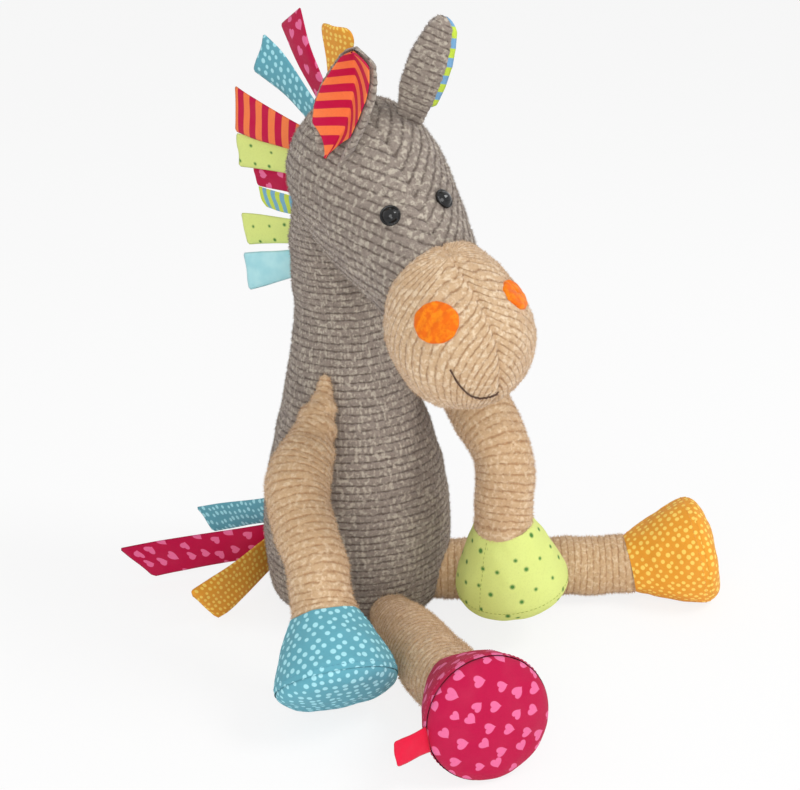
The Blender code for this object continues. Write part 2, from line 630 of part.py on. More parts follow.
# Mane and tail tabs
def tab(name, low, high, outward, length, tip_width, slant, colour, parent, thickness=TAB_THICKNESS):
    """A flat cloth tab from its round root edge, low to high, out to a tip that is cut at a slant."""
    flat = outward.cross(high - low).normalized()
    along = flat.cross(outward)
    inward = flat.cross(high - low).normalized()
    half = thickness * 0.5
    middle = (low + high) * 0.5
    corner = tip_width * TAB_corner_share
    tip_high = length - max(slant, 0.0) * tip_width
    tip_low = length + min(slant, 0.0) * tip_width
    sides = []
    for lift, depth in TAB_root_shares:
        sides.append((low + inward * (half * lift), high + inward * (half * lift), half * depth))
    for cut, side_cut in ((corner, 0.0), (0.0, corner * 0.5)):
        reach = along * (tip_width * 0.5 - side_cut)
        sides.append((middle - reach + outward * (tip_low - cut),
                      middle + reach + outward * (tip_high - cut), half))
    rings = []
    for under, over, depth in sides:
        rings.append([under - flat * depth, over - flat * depth, over + flat * depth, under + flat * depth])
    piece = finish(name, loft(rings), colour, parent=parent, origin=middle)
    piece.data.shade_flat()


seam_points = []
for step in range(SEAM_STEPS + 1):
    angle = math.radians(SEAM_FROM + (SEAM_TO - SEAM_FROM) * step / SEAM_STEPS)
    place, normal = on_head((0.0, -math.cos(angle), math.sin(angle)))
    if place.z > SEAM_GAP + SEAM_GAP:
        seam_points.append(place)


def back_seam(distance):
    """A point on the seam down the back of the head, by its distance from the neck seam."""
    for lower, upper in zip(seam_points, seam_points[1:]):
        span = (upper - lower).length
        if distance <= span:
            return lower.lerp(upper, distance / span)
        distance -= span
    return seam_points[-1]


MANE_COLOURS = (ORANGE, CRIMSON, TURQUOISE, ORANGE, LIME, CRIMSON, LIME, LIME, AQUA)
for number, (heading, lean, long, wide, slant) in enumerate(MANE_tab_shares, 1):
    start = MANE_START + MANE_PITCH * (len(MANE_tab_shares) - number)
    along_seam = [back_seam(start + MANE_ROOT_WIDTH * step / SEAM_CHORD_STEPS)
                  for step in range(SEAM_CHORD_STEPS + 1)]
    chord = along_seam[-1] - along_seam[0]
    away = chord.cross(SIDE).normalized()
    lift = max((point - along_seam[0]).dot(away) for point in along_seam)
    lift += SEAM_GAP + TAB_THICKNESS * 0.5
    outward = Vector((0.0, math.cos(math.radians(heading)), math.sin(math.radians(heading))))
    turn = Matrix.Rotation(math.radians(lean), 3, chord)
    tab(f"mane_tab_{number}", along_seam[0] + away * lift, along_seam[-1] + away * lift, turn @ outward,
        MANE_TAB_LENGTH * long, MANE_TAB_WIDTH * wide, slant, MANE_COLOURS[number - 1], neck_seam)

TAIL_COLOURS = (TURQUOISE, CRIMSON, ORANGE)
for number, (heading, droop, long, wide, slant, rise) in enumerate(TAIL_tab_shares, 1):
    turn = Matrix.Rotation(math.radians(heading), 3, "Z") @ Matrix.Rotation(math.radians(-droop), 3, "X")
    edge = turn @ UP * (TAIL_ROOT_WIDTH * 0.5)
    root = Vector((-TAIL_SPACING * (number - 1), 0.0, TAIL_HEIGHT + TAIL_ROOT_WIDTH * rise))
    reach = [meet(body_skin, root + edge * share, BACK)[0].y - edge.y * share for share in (-1.0, 0.0, 1.0)]
    root.y = max(reach) + SEAM_GAP + TAB_THICKNESS * 0.5
    tab(f"tail_tab_{number}", root - edge, root + edge, turn @ BACK, TAIL_TAB_LENGTH * long,
        TAIL_TAB_WIDTH * wide, slant, TAIL_COLOURS[number - 1], None)

# Ribbon loop, in the seam between the right hind hoof and its sole
rim, axis, side = hoof_places["right_hindleg"]
radial = Matrix.Rotation(math.radians(LABEL_ANGLE), 3, axis) @ side
tangent = axis.cross(radial)
lean = Matrix.Rotation(math.radians(LABEL_TILT), 3, -tangent)
root = rim + radial * (HOOF_RADIUS + SEAM_GAP + LABEL_THICKNESS * 0.5)
edge = tangent * (LABEL_WIDTH * 0.5)
tab("label_tab", root - edge, root + edge, lean @ radial, LABEL_LENGTH, LABEL_WIDTH, 0.0, LABEL_RED, None,
    LABEL_THICKNESS)
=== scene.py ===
"""Seated plush horse of ribbed chenille, with patterned cloth hooves, ear linings, mane and tail."""

import math

import bmesh
import bpy
import mathutils
import numpy as np
from mathutils import Matrix, Vector


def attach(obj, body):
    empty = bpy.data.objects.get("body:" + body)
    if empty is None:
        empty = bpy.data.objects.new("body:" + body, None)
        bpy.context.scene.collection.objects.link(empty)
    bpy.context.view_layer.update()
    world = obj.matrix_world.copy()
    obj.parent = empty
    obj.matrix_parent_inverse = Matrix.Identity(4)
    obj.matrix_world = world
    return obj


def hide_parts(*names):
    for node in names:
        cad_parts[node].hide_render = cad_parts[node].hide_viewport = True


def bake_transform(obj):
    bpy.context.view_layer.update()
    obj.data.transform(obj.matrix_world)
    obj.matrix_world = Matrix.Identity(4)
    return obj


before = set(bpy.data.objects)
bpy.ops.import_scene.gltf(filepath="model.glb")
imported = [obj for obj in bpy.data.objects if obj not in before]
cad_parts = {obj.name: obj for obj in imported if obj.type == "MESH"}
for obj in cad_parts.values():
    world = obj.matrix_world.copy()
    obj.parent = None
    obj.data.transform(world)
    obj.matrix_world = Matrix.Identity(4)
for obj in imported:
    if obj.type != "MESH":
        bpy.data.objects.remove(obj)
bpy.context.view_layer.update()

# Body and neck
# One grey sack of ribbed chenille plush, filled with wadding, that narrows to the neck. Its flat
# seat is what the toy sits on, and its top end is hidden inside the head.
SIDE, BACK, UP = Vector((1, 0, 0)), Vector((0, 1, 0)), Vector((0, 0, 1))
BODY_HEIGHT, BELLY_RADIUS, NECK_LEAN = 0.160, 0.0477, 0.009
HEAD_TURN, HEAD_ROLL = -24.5, -10.0
# share of the height, of the belly radius, of the lean, and of the neck's sideways tilt
BODY_RINGS = (
    (0.0, 0.0, 0.0, 0.0), (0.0, 0.76, 0.0, 0.0), (0.018, 0.86, 0.0, 0.0), (0.05, 0.93, 0.0, 0.0),
    (0.10, 0.97, 0.0, 0.0), (0.18, 0.99, 0.0, 0.0), (0.26, 1.0, 0.0, 0.0), (0.36, 0.978, 0.0, 0.0),
    (0.47, 0.92, 0.03, 0.0), (0.57, 0.835, 0.12, 0.0), (0.67, 0.73, 0.32, 0.0), (0.77, 0.625, 0.6, 0.1),
    (0.86, 0.545, 0.82, 0.35), (0.94, 0.497, 0.95, 0.75), (1.0, 0.482, 1.0, 1.0),
)
NECK_RADIUS = BELLY_RADIUS * 0.482
HEAD_CENTRE = Vector((0.0048, -0.041, 0.069))
# share of the way from neck seam to head centre up and forward, of the neck radius back and aside
NECK_RINGS = (
    (0.24, 0.07, 1.04, 1.0), (0.48, 0.23, 1.13, 1.04), (0.75, 0.5, 1.2, 1.1), (0.95, 0.7, 1.0, 0.95),
    (0.98, 0.74, 0.0, 0.0),
)
head_frame = Matrix.Translation((0.0, NECK_LEAN, BODY_HEIGHT))
head_frame = head_frame @ Matrix.Rotation(math.radians(HEAD_TURN), 4, "Z")
head_frame = head_frame @ Matrix.Rotation(math.radians(HEAD_ROLL), 4, "Y")
GREY_PITCH = 0.0036         # from one rib of the plush to the next
HEAD_PITCH = 0.0042         # the same on the head
GREY_RIB = 0.0009           # how far a rib stands out


def dense(rows, step, soften):
    """Rows of numbers along a form, evened out to one each step and softened over a length."""
    rows = np.array(rows, float)
    moves = np.sqrt((np.diff(rows[:, :3], axis=0) ** 2).sum(1) + np.diff(rows[:, -1]) ** 2)
    places = np.concatenate([[0.0], np.cumsum(np.maximum(moves, 1e-6))])
    even = np.linspace(0.0, places[-1], max(int(places[-1] / step), 4))
    rows = np.stack([np.interp(even, places, column) for column in rows.T], 1)
    reach = min(max(int(soften / step), 1), len(rows) - 1)
    before, after = 2 * rows[0] - rows[reach:0:-1], 2 * rows[-1] - rows[-2:-reach - 2:-1]
    kernel = np.hanning(2 * reach + 3)[1:-1]
    padded = np.concatenate([before, rows, after])
    return np.stack([np.convolve(column, kernel / kernel.sum(), "valid") for column in padded.T], 1)


def swelling(rings, columns, step, soften):
    """Points round rings of (centre, side, back, half width, half depth), and the way along them."""
    flat = dense([[*c, *s, *b, w, d] for c, s, b, w, d in rings], step, soften)
    turn = np.linspace(0.0, 2 * math.pi, columns, endpoint=False)
    across = flat[:, None, 3:6] * (np.cos(turn)[None, :, None] * flat[:, None, None, 9])
    deep = flat[:, None, 6:9] * (np.sin(turn)[None, :, None] * flat[:, None, None, 10])
    along = np.concatenate([[0.0], np.cumsum(np.linalg.norm(np.diff(flat[:, :3], axis=0), axis=1))])
    return flat[:, None, :3] + across + deep, along


def grid(name, points, uv=None, wrap=True, weld=1e-6):
    """A mesh from rows of points; the first column follows the last where it wraps."""
    rows, columns = points.shape[:2]
    first = np.arange(columns if wrap else columns - 1)
    after = (first + 1) % columns
    low = (np.arange(rows - 1) * columns)[:, None]
    corners = [low + first, low + after, low + columns + after, low + columns + first]
    faces = np.stack(corners, 2).reshape(-1, 4)
    mesh = bpy.data.meshes.new(name)
    mesh.from_pydata(points.reshape(-1, 3).tolist(), [], faces.tolist())
    if uv is not None:
        layer = mesh.uv_layers.new(name="cloth")
        row = np.repeat(np.arange(rows - 1), len(first))
        here, there = np.tile(first, rows - 1), np.tile(first + 1, rows - 1)
        corners = np.stack([uv[row, here], uv[row, there], uv[row + 1, there], uv[row + 1, here]], 1)
        layer.data.foreach_set("uv", corners.reshape(-1).astype(np.float32))
    piece = bpy.data.objects.new(name, mesh)
    bpy.context.scene.collection.objects.link(piece)
    bm = bmesh.new()
    bm.from_mesh(mesh)
    bmesh.ops.remove_doubles(bm, verts=bm.verts, dist=weld)
    bmesh.ops.recalc_face_normals(bm, faces=bm.faces)
    bm.to_mesh(mesh)
    bm.free()
    mesh.shade_smooth()
    return piece


def places_of(piece, normals=False):
    """The points of a mesh, or its outward directions there."""
    data = piece.data.vertex_normals if normals else piece.data.vertices
    flat = np.zeros(len(piece.data.vertices) * 3, np.float32)
    data.foreach_get("vector" if normals else "co", flat)
    return flat.reshape(-1, 3).astype(float)


def put(piece, points, lowest=None):
    """Move a mesh's points, none of them below a lowest height."""
    if lowest is not None:
        points[:, 2] = np.maximum(points[:, 2], lowest)
    piece.data.vertices.foreach_set("co", points.reshape(-1).astype(np.float32))
    piece.data.update()


def lumps(points, size, seed=0):
    """Smooth noise from -1 to 1 with bumps of the given size."""
    spot = points / size + seed * 17.13
    cell = np.floor(spot).astype(np.int64)
    part = spot - cell
    part = part * part * (3 - 2 * part)
    total = np.zeros(len(points))
    for corner in range(8):
        step = np.array([corner & 1, corner >> 1 & 1, corner >> 2 & 1])
        key = ((cell + step) * np.array([73856093, 19349663, 83492791])).sum(1) & 0xFFFFFFFF
        key = (key ^ (key >> 13)) * 1274126177 & 0xFFFFFFFF
        value = ((key ^ (key >> 16)) & 0xFFFF) / 32767.5 - 1.0
        total += value * np.prod(np.where(step, part, 1 - part), 1)
    return total


def ribbed(piece, along, pitch, height, fullness=0.0004, seed=0, around=None):
    """Raise the plush's ribs: along is the distance across them at each point, and around counts
    the knit's columns."""
    points, outward = places_of(piece), places_of(piece, True)
    wander = 0.09 * lumps(points, 0.012, seed) + 0.10 * lumps(points, 0.0024, seed + 1)
    rib = along / pitch + wander
    middle = 1.0 - np.abs(2.0 * (rib - np.floor(rib)) - 1.0)
    ridge = 1.0 - (1.0 - middle) ** 2.4
    column = 0.0 if around is None else np.cos(2 * math.pi * (around + 0.10 * lumps(points, 0.006, seed + 4)))
    tuft = 0.62 + 0.30 * lumps(points, 0.0019, seed + 2) + 0.16 * column
    lift = height * (ridge * tuft - 0.6) + fullness * lumps(points, 0.009, seed + 3)
    points += outward * lift[:, None]
    put(piece, points, 0.0002)
    for name, values in (("rib", rib), ("column", column + 0.0 * rib)):
        piece.data.attributes.new(name, "FLOAT", "POINT").data.foreach_set("value", values.astype(np.float32))


def colour(red, green, blue):
    """A colour as it looks on screen, from 0 to 255, in the renderer's own scale."""
    shares = (c / 3294.6 if c <= 10.31 else ((c / 255 + 0.055) / 1.055) ** 2.4 for c in (red, green, blue))
    return (*shares, 1.0)


def node(tree, kind, **inputs):
    """A shader or geometry node, with its settings and the values or links of its inputs."""
    made = tree.nodes.new(kind)
    for key, value in inputs.items():
        if key.startswith("set_"):
            setattr(made, key[4:], value)
            continue
        socket = made.inputs[int(key[1:])] if key[1:].isdigit() else made.inputs[key.replace("_", " ")]
        if isinstance(value, bpy.types.NodeSocket):
            tree.links.new(value, socket)
        else:
            socket.default_value = value
    return made


def sums(tree, operation, *values):
    """A Math node's result."""
    return node(tree, "ShaderNodeMath", set_operation=operation,
                **{f"i{place}": value for place, value in enumerate(values)}).outputs[0]


def mixed(tree, share, first, second):
    """Two colours mixed by a share."""
    made = node(tree, "ShaderNodeMix", set_data_type="RGBA", i0=share)
    for socket, value in ((made.inputs[6], first), (made.inputs[7], second)):
        if isinstance(value, bpy.types.NodeSocket):
            tree.links.new(value, socket)
        else:
            socket.default_value = value
    return made.outputs[2]


def noise(tree, size, detail=2.0, place=None):
    """A Noise texture's value, with bumps of a size in metres."""
    place = place or node(tree, "ShaderNodeTexCoord").outputs["Object"]
    return node(tree, "ShaderNodeTexNoise", Vector=place, Scale=1.0 / size, Detail=detail).outputs[0]


def ramp(tree, value, low, high):
    """A value stretched so that low becomes 0 and high 1, softly."""
    return node(tree, "ShaderNodeMapRange", set_interpolation_type="SMOOTHSTEP", Value=value,
                From_Min=low, From_Max=high).outputs[0]


def group(name, inputs, outputs):
    """A shader node group with its sockets."""
    tree = bpy.data.node_groups.new(name, "ShaderNodeTree")
    for label, kind in inputs:
        tree.interface.new_socket(label, in_out="INPUT", socket_type=kind)
    for label, kind in outputs:
        tree.interface.new_socket(label, in_out="OUTPUT", socket_type=kind)
    return tree, tree.nodes.new("NodeGroupInput").outputs, tree.nodes.new("NodeGroupOutput").inputs


# Chenille: soft ribs with fine grooves darkened by painted shade, broken into tufts of pale and dark yarn
# The grooves between the ribs get painted shade, a darker colour mixed into the yarn there; the depth input
# sets how dark this painted shade is and how deep the grooves are in the bump
chenille, given, result = group("chenille", (
    ("Yarn", "NodeSocketColor"), ("Pale", "NodeSocketColor"), ("Dark", "NodeSocketColor"),
    ("Groove", "NodeSocketColor"), ("Depth", "NodeSocketFloat")),
    (("Color", "NodeSocketColor"), ("Height", "NodeSocketFloat")))
rib = node(chenille, "ShaderNodeAttribute", set_attribute_name="rib").outputs["Fac"]
rib = sums(chenille, "ADD", rib, sums(chenille, "MULTIPLY", noise(chenille, 0.0010), 0.24))
to_groove = sums(chenille, "PINGPONG", rib, 0.5)
broken = ramp(chenille, noise(chenille, 0.0024, 1.5), 0.24, 0.58)
# painted shade: the grooves' share, scaled by the depth input, used for the colour and the bump alike
groove = sums(chenille, "SUBTRACT", 1.0, ramp(chenille, to_groove, 0.0, 0.22))
groove = sums(chenille, "MULTIPLY", groove, sums(chenille, "MULTIPLY", broken, given["Depth"]))
column = node(chenille, "ShaderNodeAttribute", set_attribute_name="column").outputs["Fac"]
column = sums(chenille, "MULTIPLY", column, 0.06)
pale = ramp(chenille, sums(chenille, "ADD", noise(chenille, 0.0021, 2.0), column), 0.46, 0.66)
dark = ramp(chenille, noise(chenille, 0.0013, 2.0), 0.54, 0.72)
broad = ramp(chenille, noise(chenille, 0.018, 2.0), 0.35, 0.70)
fibre = noise(chenille, 0.0004, 3.0)
yarn = mixed(chenille, sums(chenille, "MULTIPLY", pale, 0.80), given["Yarn"], given["Pale"])
yarn = mixed(chenille, sums(chenille, "MULTIPLY", dark, 0.55), yarn, given["Dark"])
yarn = mixed(chenille, sums(chenille, "MULTIPLY", broad, 0.20), yarn, given["Dark"])
yarn = mixed(chenille, ramp(chenille, fibre, 0.60, 0.78), yarn, given["Pale"])
# painted shade: the yarn darkened towards the groove colour in the grooves
yarn = mixed(chenille, groove, yarn, given["Groove"])
chenille.links.new(yarn, result["Color"])
raised = sums(chenille, "ADD", sums(chenille, "MULTIPLY", pale, 0.5), fibre)
chenille.links.new(sums(chenille, "SUBTRACT", raised, groove), result["Height"])


def cloth_material(name, roughness, sheen):
    """A material with its tree, shader and a bump that feeds the shader's normal."""
    material = bpy.data.materials.new(name)
    material.use_nodes = True
    tree = material.node_tree
    shader = tree.nodes["Principled BSDF"]
    shader.inputs["Roughness"].default_value = roughness
    shader.inputs["Sheen Weight"].default_value = sheen
    shader.inputs["Sheen Roughness"].default_value = 0.45
    shader.inputs["Specular IOR Level"].default_value = 0.25
    bump = tree.nodes.new("ShaderNodeBump")
    tree.links.new(bump.outputs["Normal"], shader.inputs["Normal"])
    return material, tree, shader, bump


def plush_material(name, yarn, pale, dark, groove, depth):
    """Chenille plush of one colour: its yarn, pale and dark threads, the colour of the painted shade in its
    grooves, and their depth, which also sets how dark that painted shade is.
    """
    material, tree, shader, bump = cloth_material(name, 0.92, 0.45)
    shader.inputs["Sheen Tint"].default_value = colour(226, 216, 216)
    pile = node(tree, "ShaderNodeGroup", set_node_tree=chenille, Yarn=yarn, Pale=pale, Dark=dark,
                Groove=groove, Depth=depth)
    tree.links.new(pile.outputs["Color"], shader.inputs["Base Color"])
    tree.links.new(pile.outputs["Height"], bump.inputs["Height"])
    bump.inputs["Strength"].default_value = 0.5
    bump.inputs["Distance"].default_value = 0.0006
    return material


# the last colour is painted shade for the grooves, and the last number sets how dark it is and how deep they
# are
grey_plush = plush_material("grey_plush", colour(148, 136, 126), colour(200, 190, 174), colour(112, 100, 93),
                            colour(76, 63, 55), 0.78)

# Nap: the loose ends of the yarn, short thin cones that lean every way
def growing(name, *sizes):
    """A Geometry Nodes tree with a mesh, sizes, a seed and a material as its inputs."""
    tree = bpy.data.node_groups.new(name, "GeometryNodeTree")
    for label, kind in (("Geometry", "NodeSocketGeometry"), *((size, "NodeSocketFloat") for size in sizes),
                        ("Seed", "NodeSocketInt"), ("Material", "NodeSocketMaterial")):
        tree.interface.new_socket(label, in_out="INPUT", socket_type=kind)
    tree.interface.new_socket("Geometry", in_out="OUTPUT", socket_type="NodeSocketGeometry")
    return tree, tree.nodes.new("NodeGroupInput").outputs


def coated(tree, placed, material):
    """Finish a tree: its instances made real and given their material."""
    real = node(tree, "GeometryNodeRealizeInstances", Geometry=placed.outputs[0])
    coat = node(tree, "GeometryNodeSetMaterial", Geometry=real.outputs[0], Material=material)
    tree.links.new(coat.outputs[0], tree.nodes.new("NodeGroupOutput").inputs[0])


nap_tree, given = growing("nap", "Density", "Length", "Width")
spread = node(nap_tree, "GeometryNodeDistributePointsOnFaces", Mesh=given["Geometry"],
              Density=given["Density"], Seed=given["Seed"])
lean = node(nap_tree, "FunctionNodeRandomValue", set_data_type="FLOAT_VECTOR", i0=(-0.8, -0.8, -3.1),
            i1=(0.8, 0.8, 3.1), Seed=given["Seed"])
turned = node(nap_tree, "FunctionNodeRotateRotation", set_rotation_space="LOCAL",
              Rotation=spread.outputs["Rotation"], Rotate_By=lean.outputs[0])
size = node(nap_tree, "FunctionNodeRandomValue", set_data_type="FLOAT", i2=0.5, i3=1.2, Seed=given["Seed"])
strand = node(nap_tree, "GeometryNodeMeshCone", set_fill_type="NONE", Vertices=3, Radius_Top=0.0,
              Radius_Bottom=given["Width"], Depth=given["Length"])
placed = node(nap_tree, "GeometryNodeInstanceOnPoints", Points=spread.outputs["Points"],
              Instance=strand.outputs["Mesh"], Rotation=turned.outputs[0], Scale=size.outputs[1])
coated(nap_tree, placed, given["Material"])


def grown(piece, tree, name, **values):
    """The plain mesh that a Geometry Nodes tree makes from a piece."""
    step = piece.modifiers.new("grow", "NODES")
    step.node_group = tree
    for item in tree.interface.items_tree:
        if item.item_type == "SOCKET" and item.in_out == "INPUT" and item.name in values:
            step[item.identifier] = values[item.name]
    graph = bpy.context.evaluated_depsgraph_get()
    mesh = bpy.data.meshes.new_from_object(piece.evaluated_get(graph))
    piece.modifiers.remove(step)
    mesh.name = name
    made = bpy.data.objects.new(name, mesh)
    bpy.context.scene.collection.objects.link(made)
    return made


def nap(piece, material, seed, density=1.1e6, length=0.0013, width=0.00011):
    """The nap of a plush piece, as a piece of its own."""
    made = grown(piece, nap_tree, piece.name + "_nap", Density=density, Length=length, Width=width,
                 Seed=seed, Material=material)
    put(made, places_of(made), 0.0001)
    return made


rings = []
for height, radius, lean, tilt in BODY_RINGS:
    turn = Matrix.Rotation(math.radians(HEAD_TURN), 3, "Z")
    turn = turn @ Matrix.Rotation(math.radians(HEAD_ROLL * tilt), 3, "Y")
    centre = UP * (BODY_HEIGHT * height) + BACK * (NECK_LEAN * lean)
    reach = BELLY_RADIUS * radius
    rings.append((centre, turn @ SIDE, turn @ BACK, reach, reach))
for rise, reach, deep, wide in NECK_RINGS:
    centre = Vector((HEAD_CENTRE.x * reach, HEAD_CENTRE.y * reach, HEAD_CENTRE.z * rise))
    rings.append((head_frame @ centre, head_frame.to_3x3() @ SIDE, head_frame.to_3x3() @ BACK,
                  NECK_RADIUS * wide, NECK_RADIUS * deep))
points, along = swelling(rings, 300, 0.0010, 0.007)
body = grid("body_plush", points)
start = places_of(body)
heights = np.interp(start[:, 2], points[:, :, 2].mean(1), along)
columns = np.arctan2(start[:, 1] - NECK_LEAN * start[:, 2] / BODY_HEIGHT, start[:, 0]) / (2 * math.pi) * 104
ribbed(body, heights, GREY_PITCH, GREY_RIB, fullness=0.0006, seed=1, around=columns)
body.data.materials.append(grey_plush)
body_nap = nap(body, grey_plush, 1)
for piece in (body, body_nap):
    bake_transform(piece)
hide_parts("body")

# Head
# Two side panels of the same grey plush, sewn together along the middle and stuffed to an egg that
# points at the muzzle. It is sewn to the neck, turned and tipped to the toy's right.
MUZZLE_CENTRE = Vector((0.0048, -0.1155, 0.0100))
SNOUT_LENGTH = (MUZZLE_CENTRE - HEAD_CENTRE).length
snout = (MUZZLE_CENTRE - HEAD_CENTRE).normalized()
HEAD_RADIUS, MUZZLE_RADIUS, MUZZLE_SEAM_BACK = 0.0342, 0.0312, 0.0262
# share of the way from head centre to muzzle centre, and of the head radius
HEAD_RINGS = (
    (-0.395, 0.0), (-0.385, 0.24), (-0.35, 0.46), (-0.28, 0.70), (-0.19, 0.88), (-0.08, 0.98),
    (0.04, 1.015), (0.16, 1.005), (0.29, 0.955), (0.42, 0.88), (0.56, 0.785),
)


def round_rings(rows, start):
    """Rings round the snout's line, from rows of (distance along it, radius)."""
    turn = head_frame.to_3x3()
    return [(head_frame @ (start + snout * along), turn @ SIDE, turn @ snout.cross(SIDE), radius, radius)
            for along, radius in rows]


def in_head(points):
    """Points in the head's own frame: to its left, back and up from the neck seam."""
    inverse = np.array(head_frame.inverted())
    return points @ inverse[:3, :3].T + inverse[:3, 3]


def sunk_seam(piece, depth=0.0010, width=0.0011):
    """Draw the skin in along the seam down the middle of the head."""
    points, outward = places_of(piece), places_of(piece, True)
    aside = in_head(points)[:, 0] - HEAD_CENTRE.x
    put(piece, points - outward * (depth * np.exp(-(aside / width) ** 2))[:, None])


rows = [(SNOUT_LENGTH * along, HEAD_RADIUS * radius) for along, radius in HEAD_RINGS]
seam = SNOUT_LENGTH - MUZZLE_SEAM_BACK
rows += [(seam, MUZZLE_RADIUS * 0.77), (seam + 0.004, MUZZLE_RADIUS * 0.6), (seam + 0.005, 0.0)]
points, _ = swelling(round_rings(rows, HEAD_CENTRE), 270, 0.0009, 0.004)
head = grid("head_plush", points)
start = in_head(places_of(head))
across_ribs = 0.98 * start[:, 2] - 0.18 * start[:, 1] - 0.45 * np.abs(start[:, 0] - HEAD_CENTRE.x)
sunk_seam(head)
ribbed(head, across_ribs, HEAD_PITCH, GREY_RIB, fullness=0.0006, seed=5, around=start[:, 1] / 0.0029)
head.data.materials.append(grey_plush)
head_nap = nap(head, grey_plush, 2)
for piece in (head, head_nap):
    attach(piece, "head")
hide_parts("head")

# Muzzle
# A ball of beige ribbed plush, also two panels with a seam down the middle, sewn over the end of
# the head. Its ribs fan out from the top and run down the cheeks.
# share of the way from its seam to its front, and of the radius across
MUZZLE_RINGS = (
    (0.0, 0.77), (0.08, 0.86), (0.2, 0.95), (0.32, 0.99), (0.45, 1.0), (0.58, 0.97), (0.69, 0.9),
    (0.79, 0.785), (0.88, 0.6), (0.945, 0.4), (0.985, 0.2), (1.0, 0.0),
)
BEIGE_PITCH, BEIGE_RIB = 0.0040, 0.0008
# the last colour is painted shade for the grooves, and the last number sets how dark it is and how deep they
# are
beige_plush = plush_material("beige_plush", colour(206, 175, 139), colour(234, 213, 183),
                             colour(186, 152, 115), colour(150, 110, 72), 0.75)
reach = MUZZLE_RADIUS + MUZZLE_SEAM_BACK
rows = [(-0.0265, 0.0), (-0.0265, MUZZLE_RADIUS * 0.70)]
rows += [(reach * along - MUZZLE_SEAM_BACK, MUZZLE_RADIUS * radius) for along, radius in MUZZLE_RINGS]
points, _ = swelling(round_rings(rows, MUZZLE_CENTRE), 250, 0.0009, 0.003)
# its seam runs further up the top of the head than underneath
SEAM_RISE, SEAM_SWELL_SHARE = 0.0065, 0.80
head_up = np.array(head_frame.to_3x3() @ UP)
snout_way = np.array(head_frame.to_3x3() @ snout)
from_centre = points - np.array(head_frame @ MUZZLE_CENTRE)
along = from_centre @ snout_way
round_it = from_centre - along[..., None] * snout_way
round_it /= np.linalg.norm(round_it, axis=2)[..., None] + 1e-9
back = SEAM_RISE * np.clip(round_it @ head_up, 0.0, 1.0) * np.clip(-along / MUZZLE_SEAM_BACK, 0.0, 1.0) ** 2
points = points - back[..., None] * snout_way + (SEAM_SWELL_SHARE * back)[..., None] * round_it
muzzle = grid("muzzle_plush", points)
start = in_head(places_of(muzzle)) - np.array(MUZZLE_CENTRE)
aside = np.arctan2(np.abs(start[:, 0]), -start[:, 1])
across_ribs = 0.030 * aside + 0.85 * start[:, 2] * np.exp(-(aside / 0.8) ** 2)
across_ribs += 7.0 * np.maximum(start[:, 2] + 0.008, 0.0) ** 2
sunk_seam(muzzle, depth=0.0013, width=0.0010)
ribbed(muzzle, across_ribs, BEIGE_PITCH, BEIGE_RIB, fullness=0.0004, seed=9)
muzzle.data.materials.append(beige_plush)
muzzle_nap = nap(muzzle, beige_plush, 3, density=1.0e6, length=0.0011)
for piece in (muzzle, muzzle_nap):
    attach(piece, "head")
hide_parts("muzzle")


# Eyes
# Black buttons with a raised rim and a domed middle. Each has a stem that goes through the plush
# into a plastic washer inside the head.
def turned(name, rows, place, axis, columns=48):
    """A form turned about an axis, from rows of (distance along it, radius)."""
    side = axis.orthogonal().normalized()
    across = axis.cross(side)
    points = [[place + axis * along + (side * math.cos(t) + across * math.sin(t)) * radius
               for t in np.linspace(0.0, 2 * math.pi, columns, endpoint=False)] for along, radius in rows]
    return grid(name, np.array(points, float))


def plastic_material(name, patch, first, second, rough_patch, smoothest, roughest):
    """Moulded plastic in two close tones, a little uneven in its gloss."""
    material = bpy.data.materials.new(name)
    material.use_nodes = True
    tree = material.node_tree
    shader = tree.nodes["Principled BSDF"]
    tree.links.new(mixed(tree, noise(tree, patch), first, second), shader.inputs["Base Color"])
    gloss = node(tree, "ShaderNodeMapRange", Value=noise(tree, rough_patch), To_Min=smoothest,
                 To_Max=roughest)
    tree.links.new(gloss.outputs[0], shader.inputs["Roughness"])
    return material, shader


eye_black, shader = plastic_material("eye_black", 0.004, colour(10, 10, 11), colour(20, 19, 20),
                                     0.0015, 0.06, 0.12)
shader.inputs["Specular IOR Level"].default_value = 0.25
shader.inputs["Coat Weight"].default_value = 0.3
shader.inputs["Coat Roughness"].default_value = 0.04
EYES = (
    ("right", Vector((-0.05487, -0.0656, 0.22094)), Vector((-0.79088, -0.42771, 0.43768))),
    ("left", Vector((-0.03171, -0.07615, 0.22543)), Vector((0.03009, -0.80185, 0.59677))),
)
EYE_ROWS = ((-0.0006, 0.0), (-0.0006, 0.0046), (0.0001, 0.00500), (0.0007, 0.00515), (0.0012, 0.00495),
            (0.0013, 0.0046), (0.0011, 0.0042), (0.0013, 0.0040), (0.0021, 0.0034), (0.0028, 0.0025),
            (0.0032, 0.0014), (0.0034, 0.0006), (0.0034, 0.0))
EYE_SHARE = 0.88            # of those rows' radius
for hand, place, normal in EYES:
    rows = dense([(along, 0.0, 0.0, radius) for along, radius in EYE_ROWS], 0.0001, 0.0003)
    rows = [(along, max(radius * EYE_SHARE, 0.0)) for along, _, _, radius in rows]
    eye = turned(hand + "_eye_button", rows, place, normal)
    eye.data.materials.append(eye_black)
    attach(eye, "head")
    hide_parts(hand + "_eye")

washer_plastic, _ = plastic_material("washer_plastic", 0.002, colour(224, 224, 220), colour(238, 238, 236),
                                     0.0006, 0.32, 0.5)
for hand in ("right", "left"):
    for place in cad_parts[hand + "_eye_washer"].material_slots:
        place.material = washer_plastic

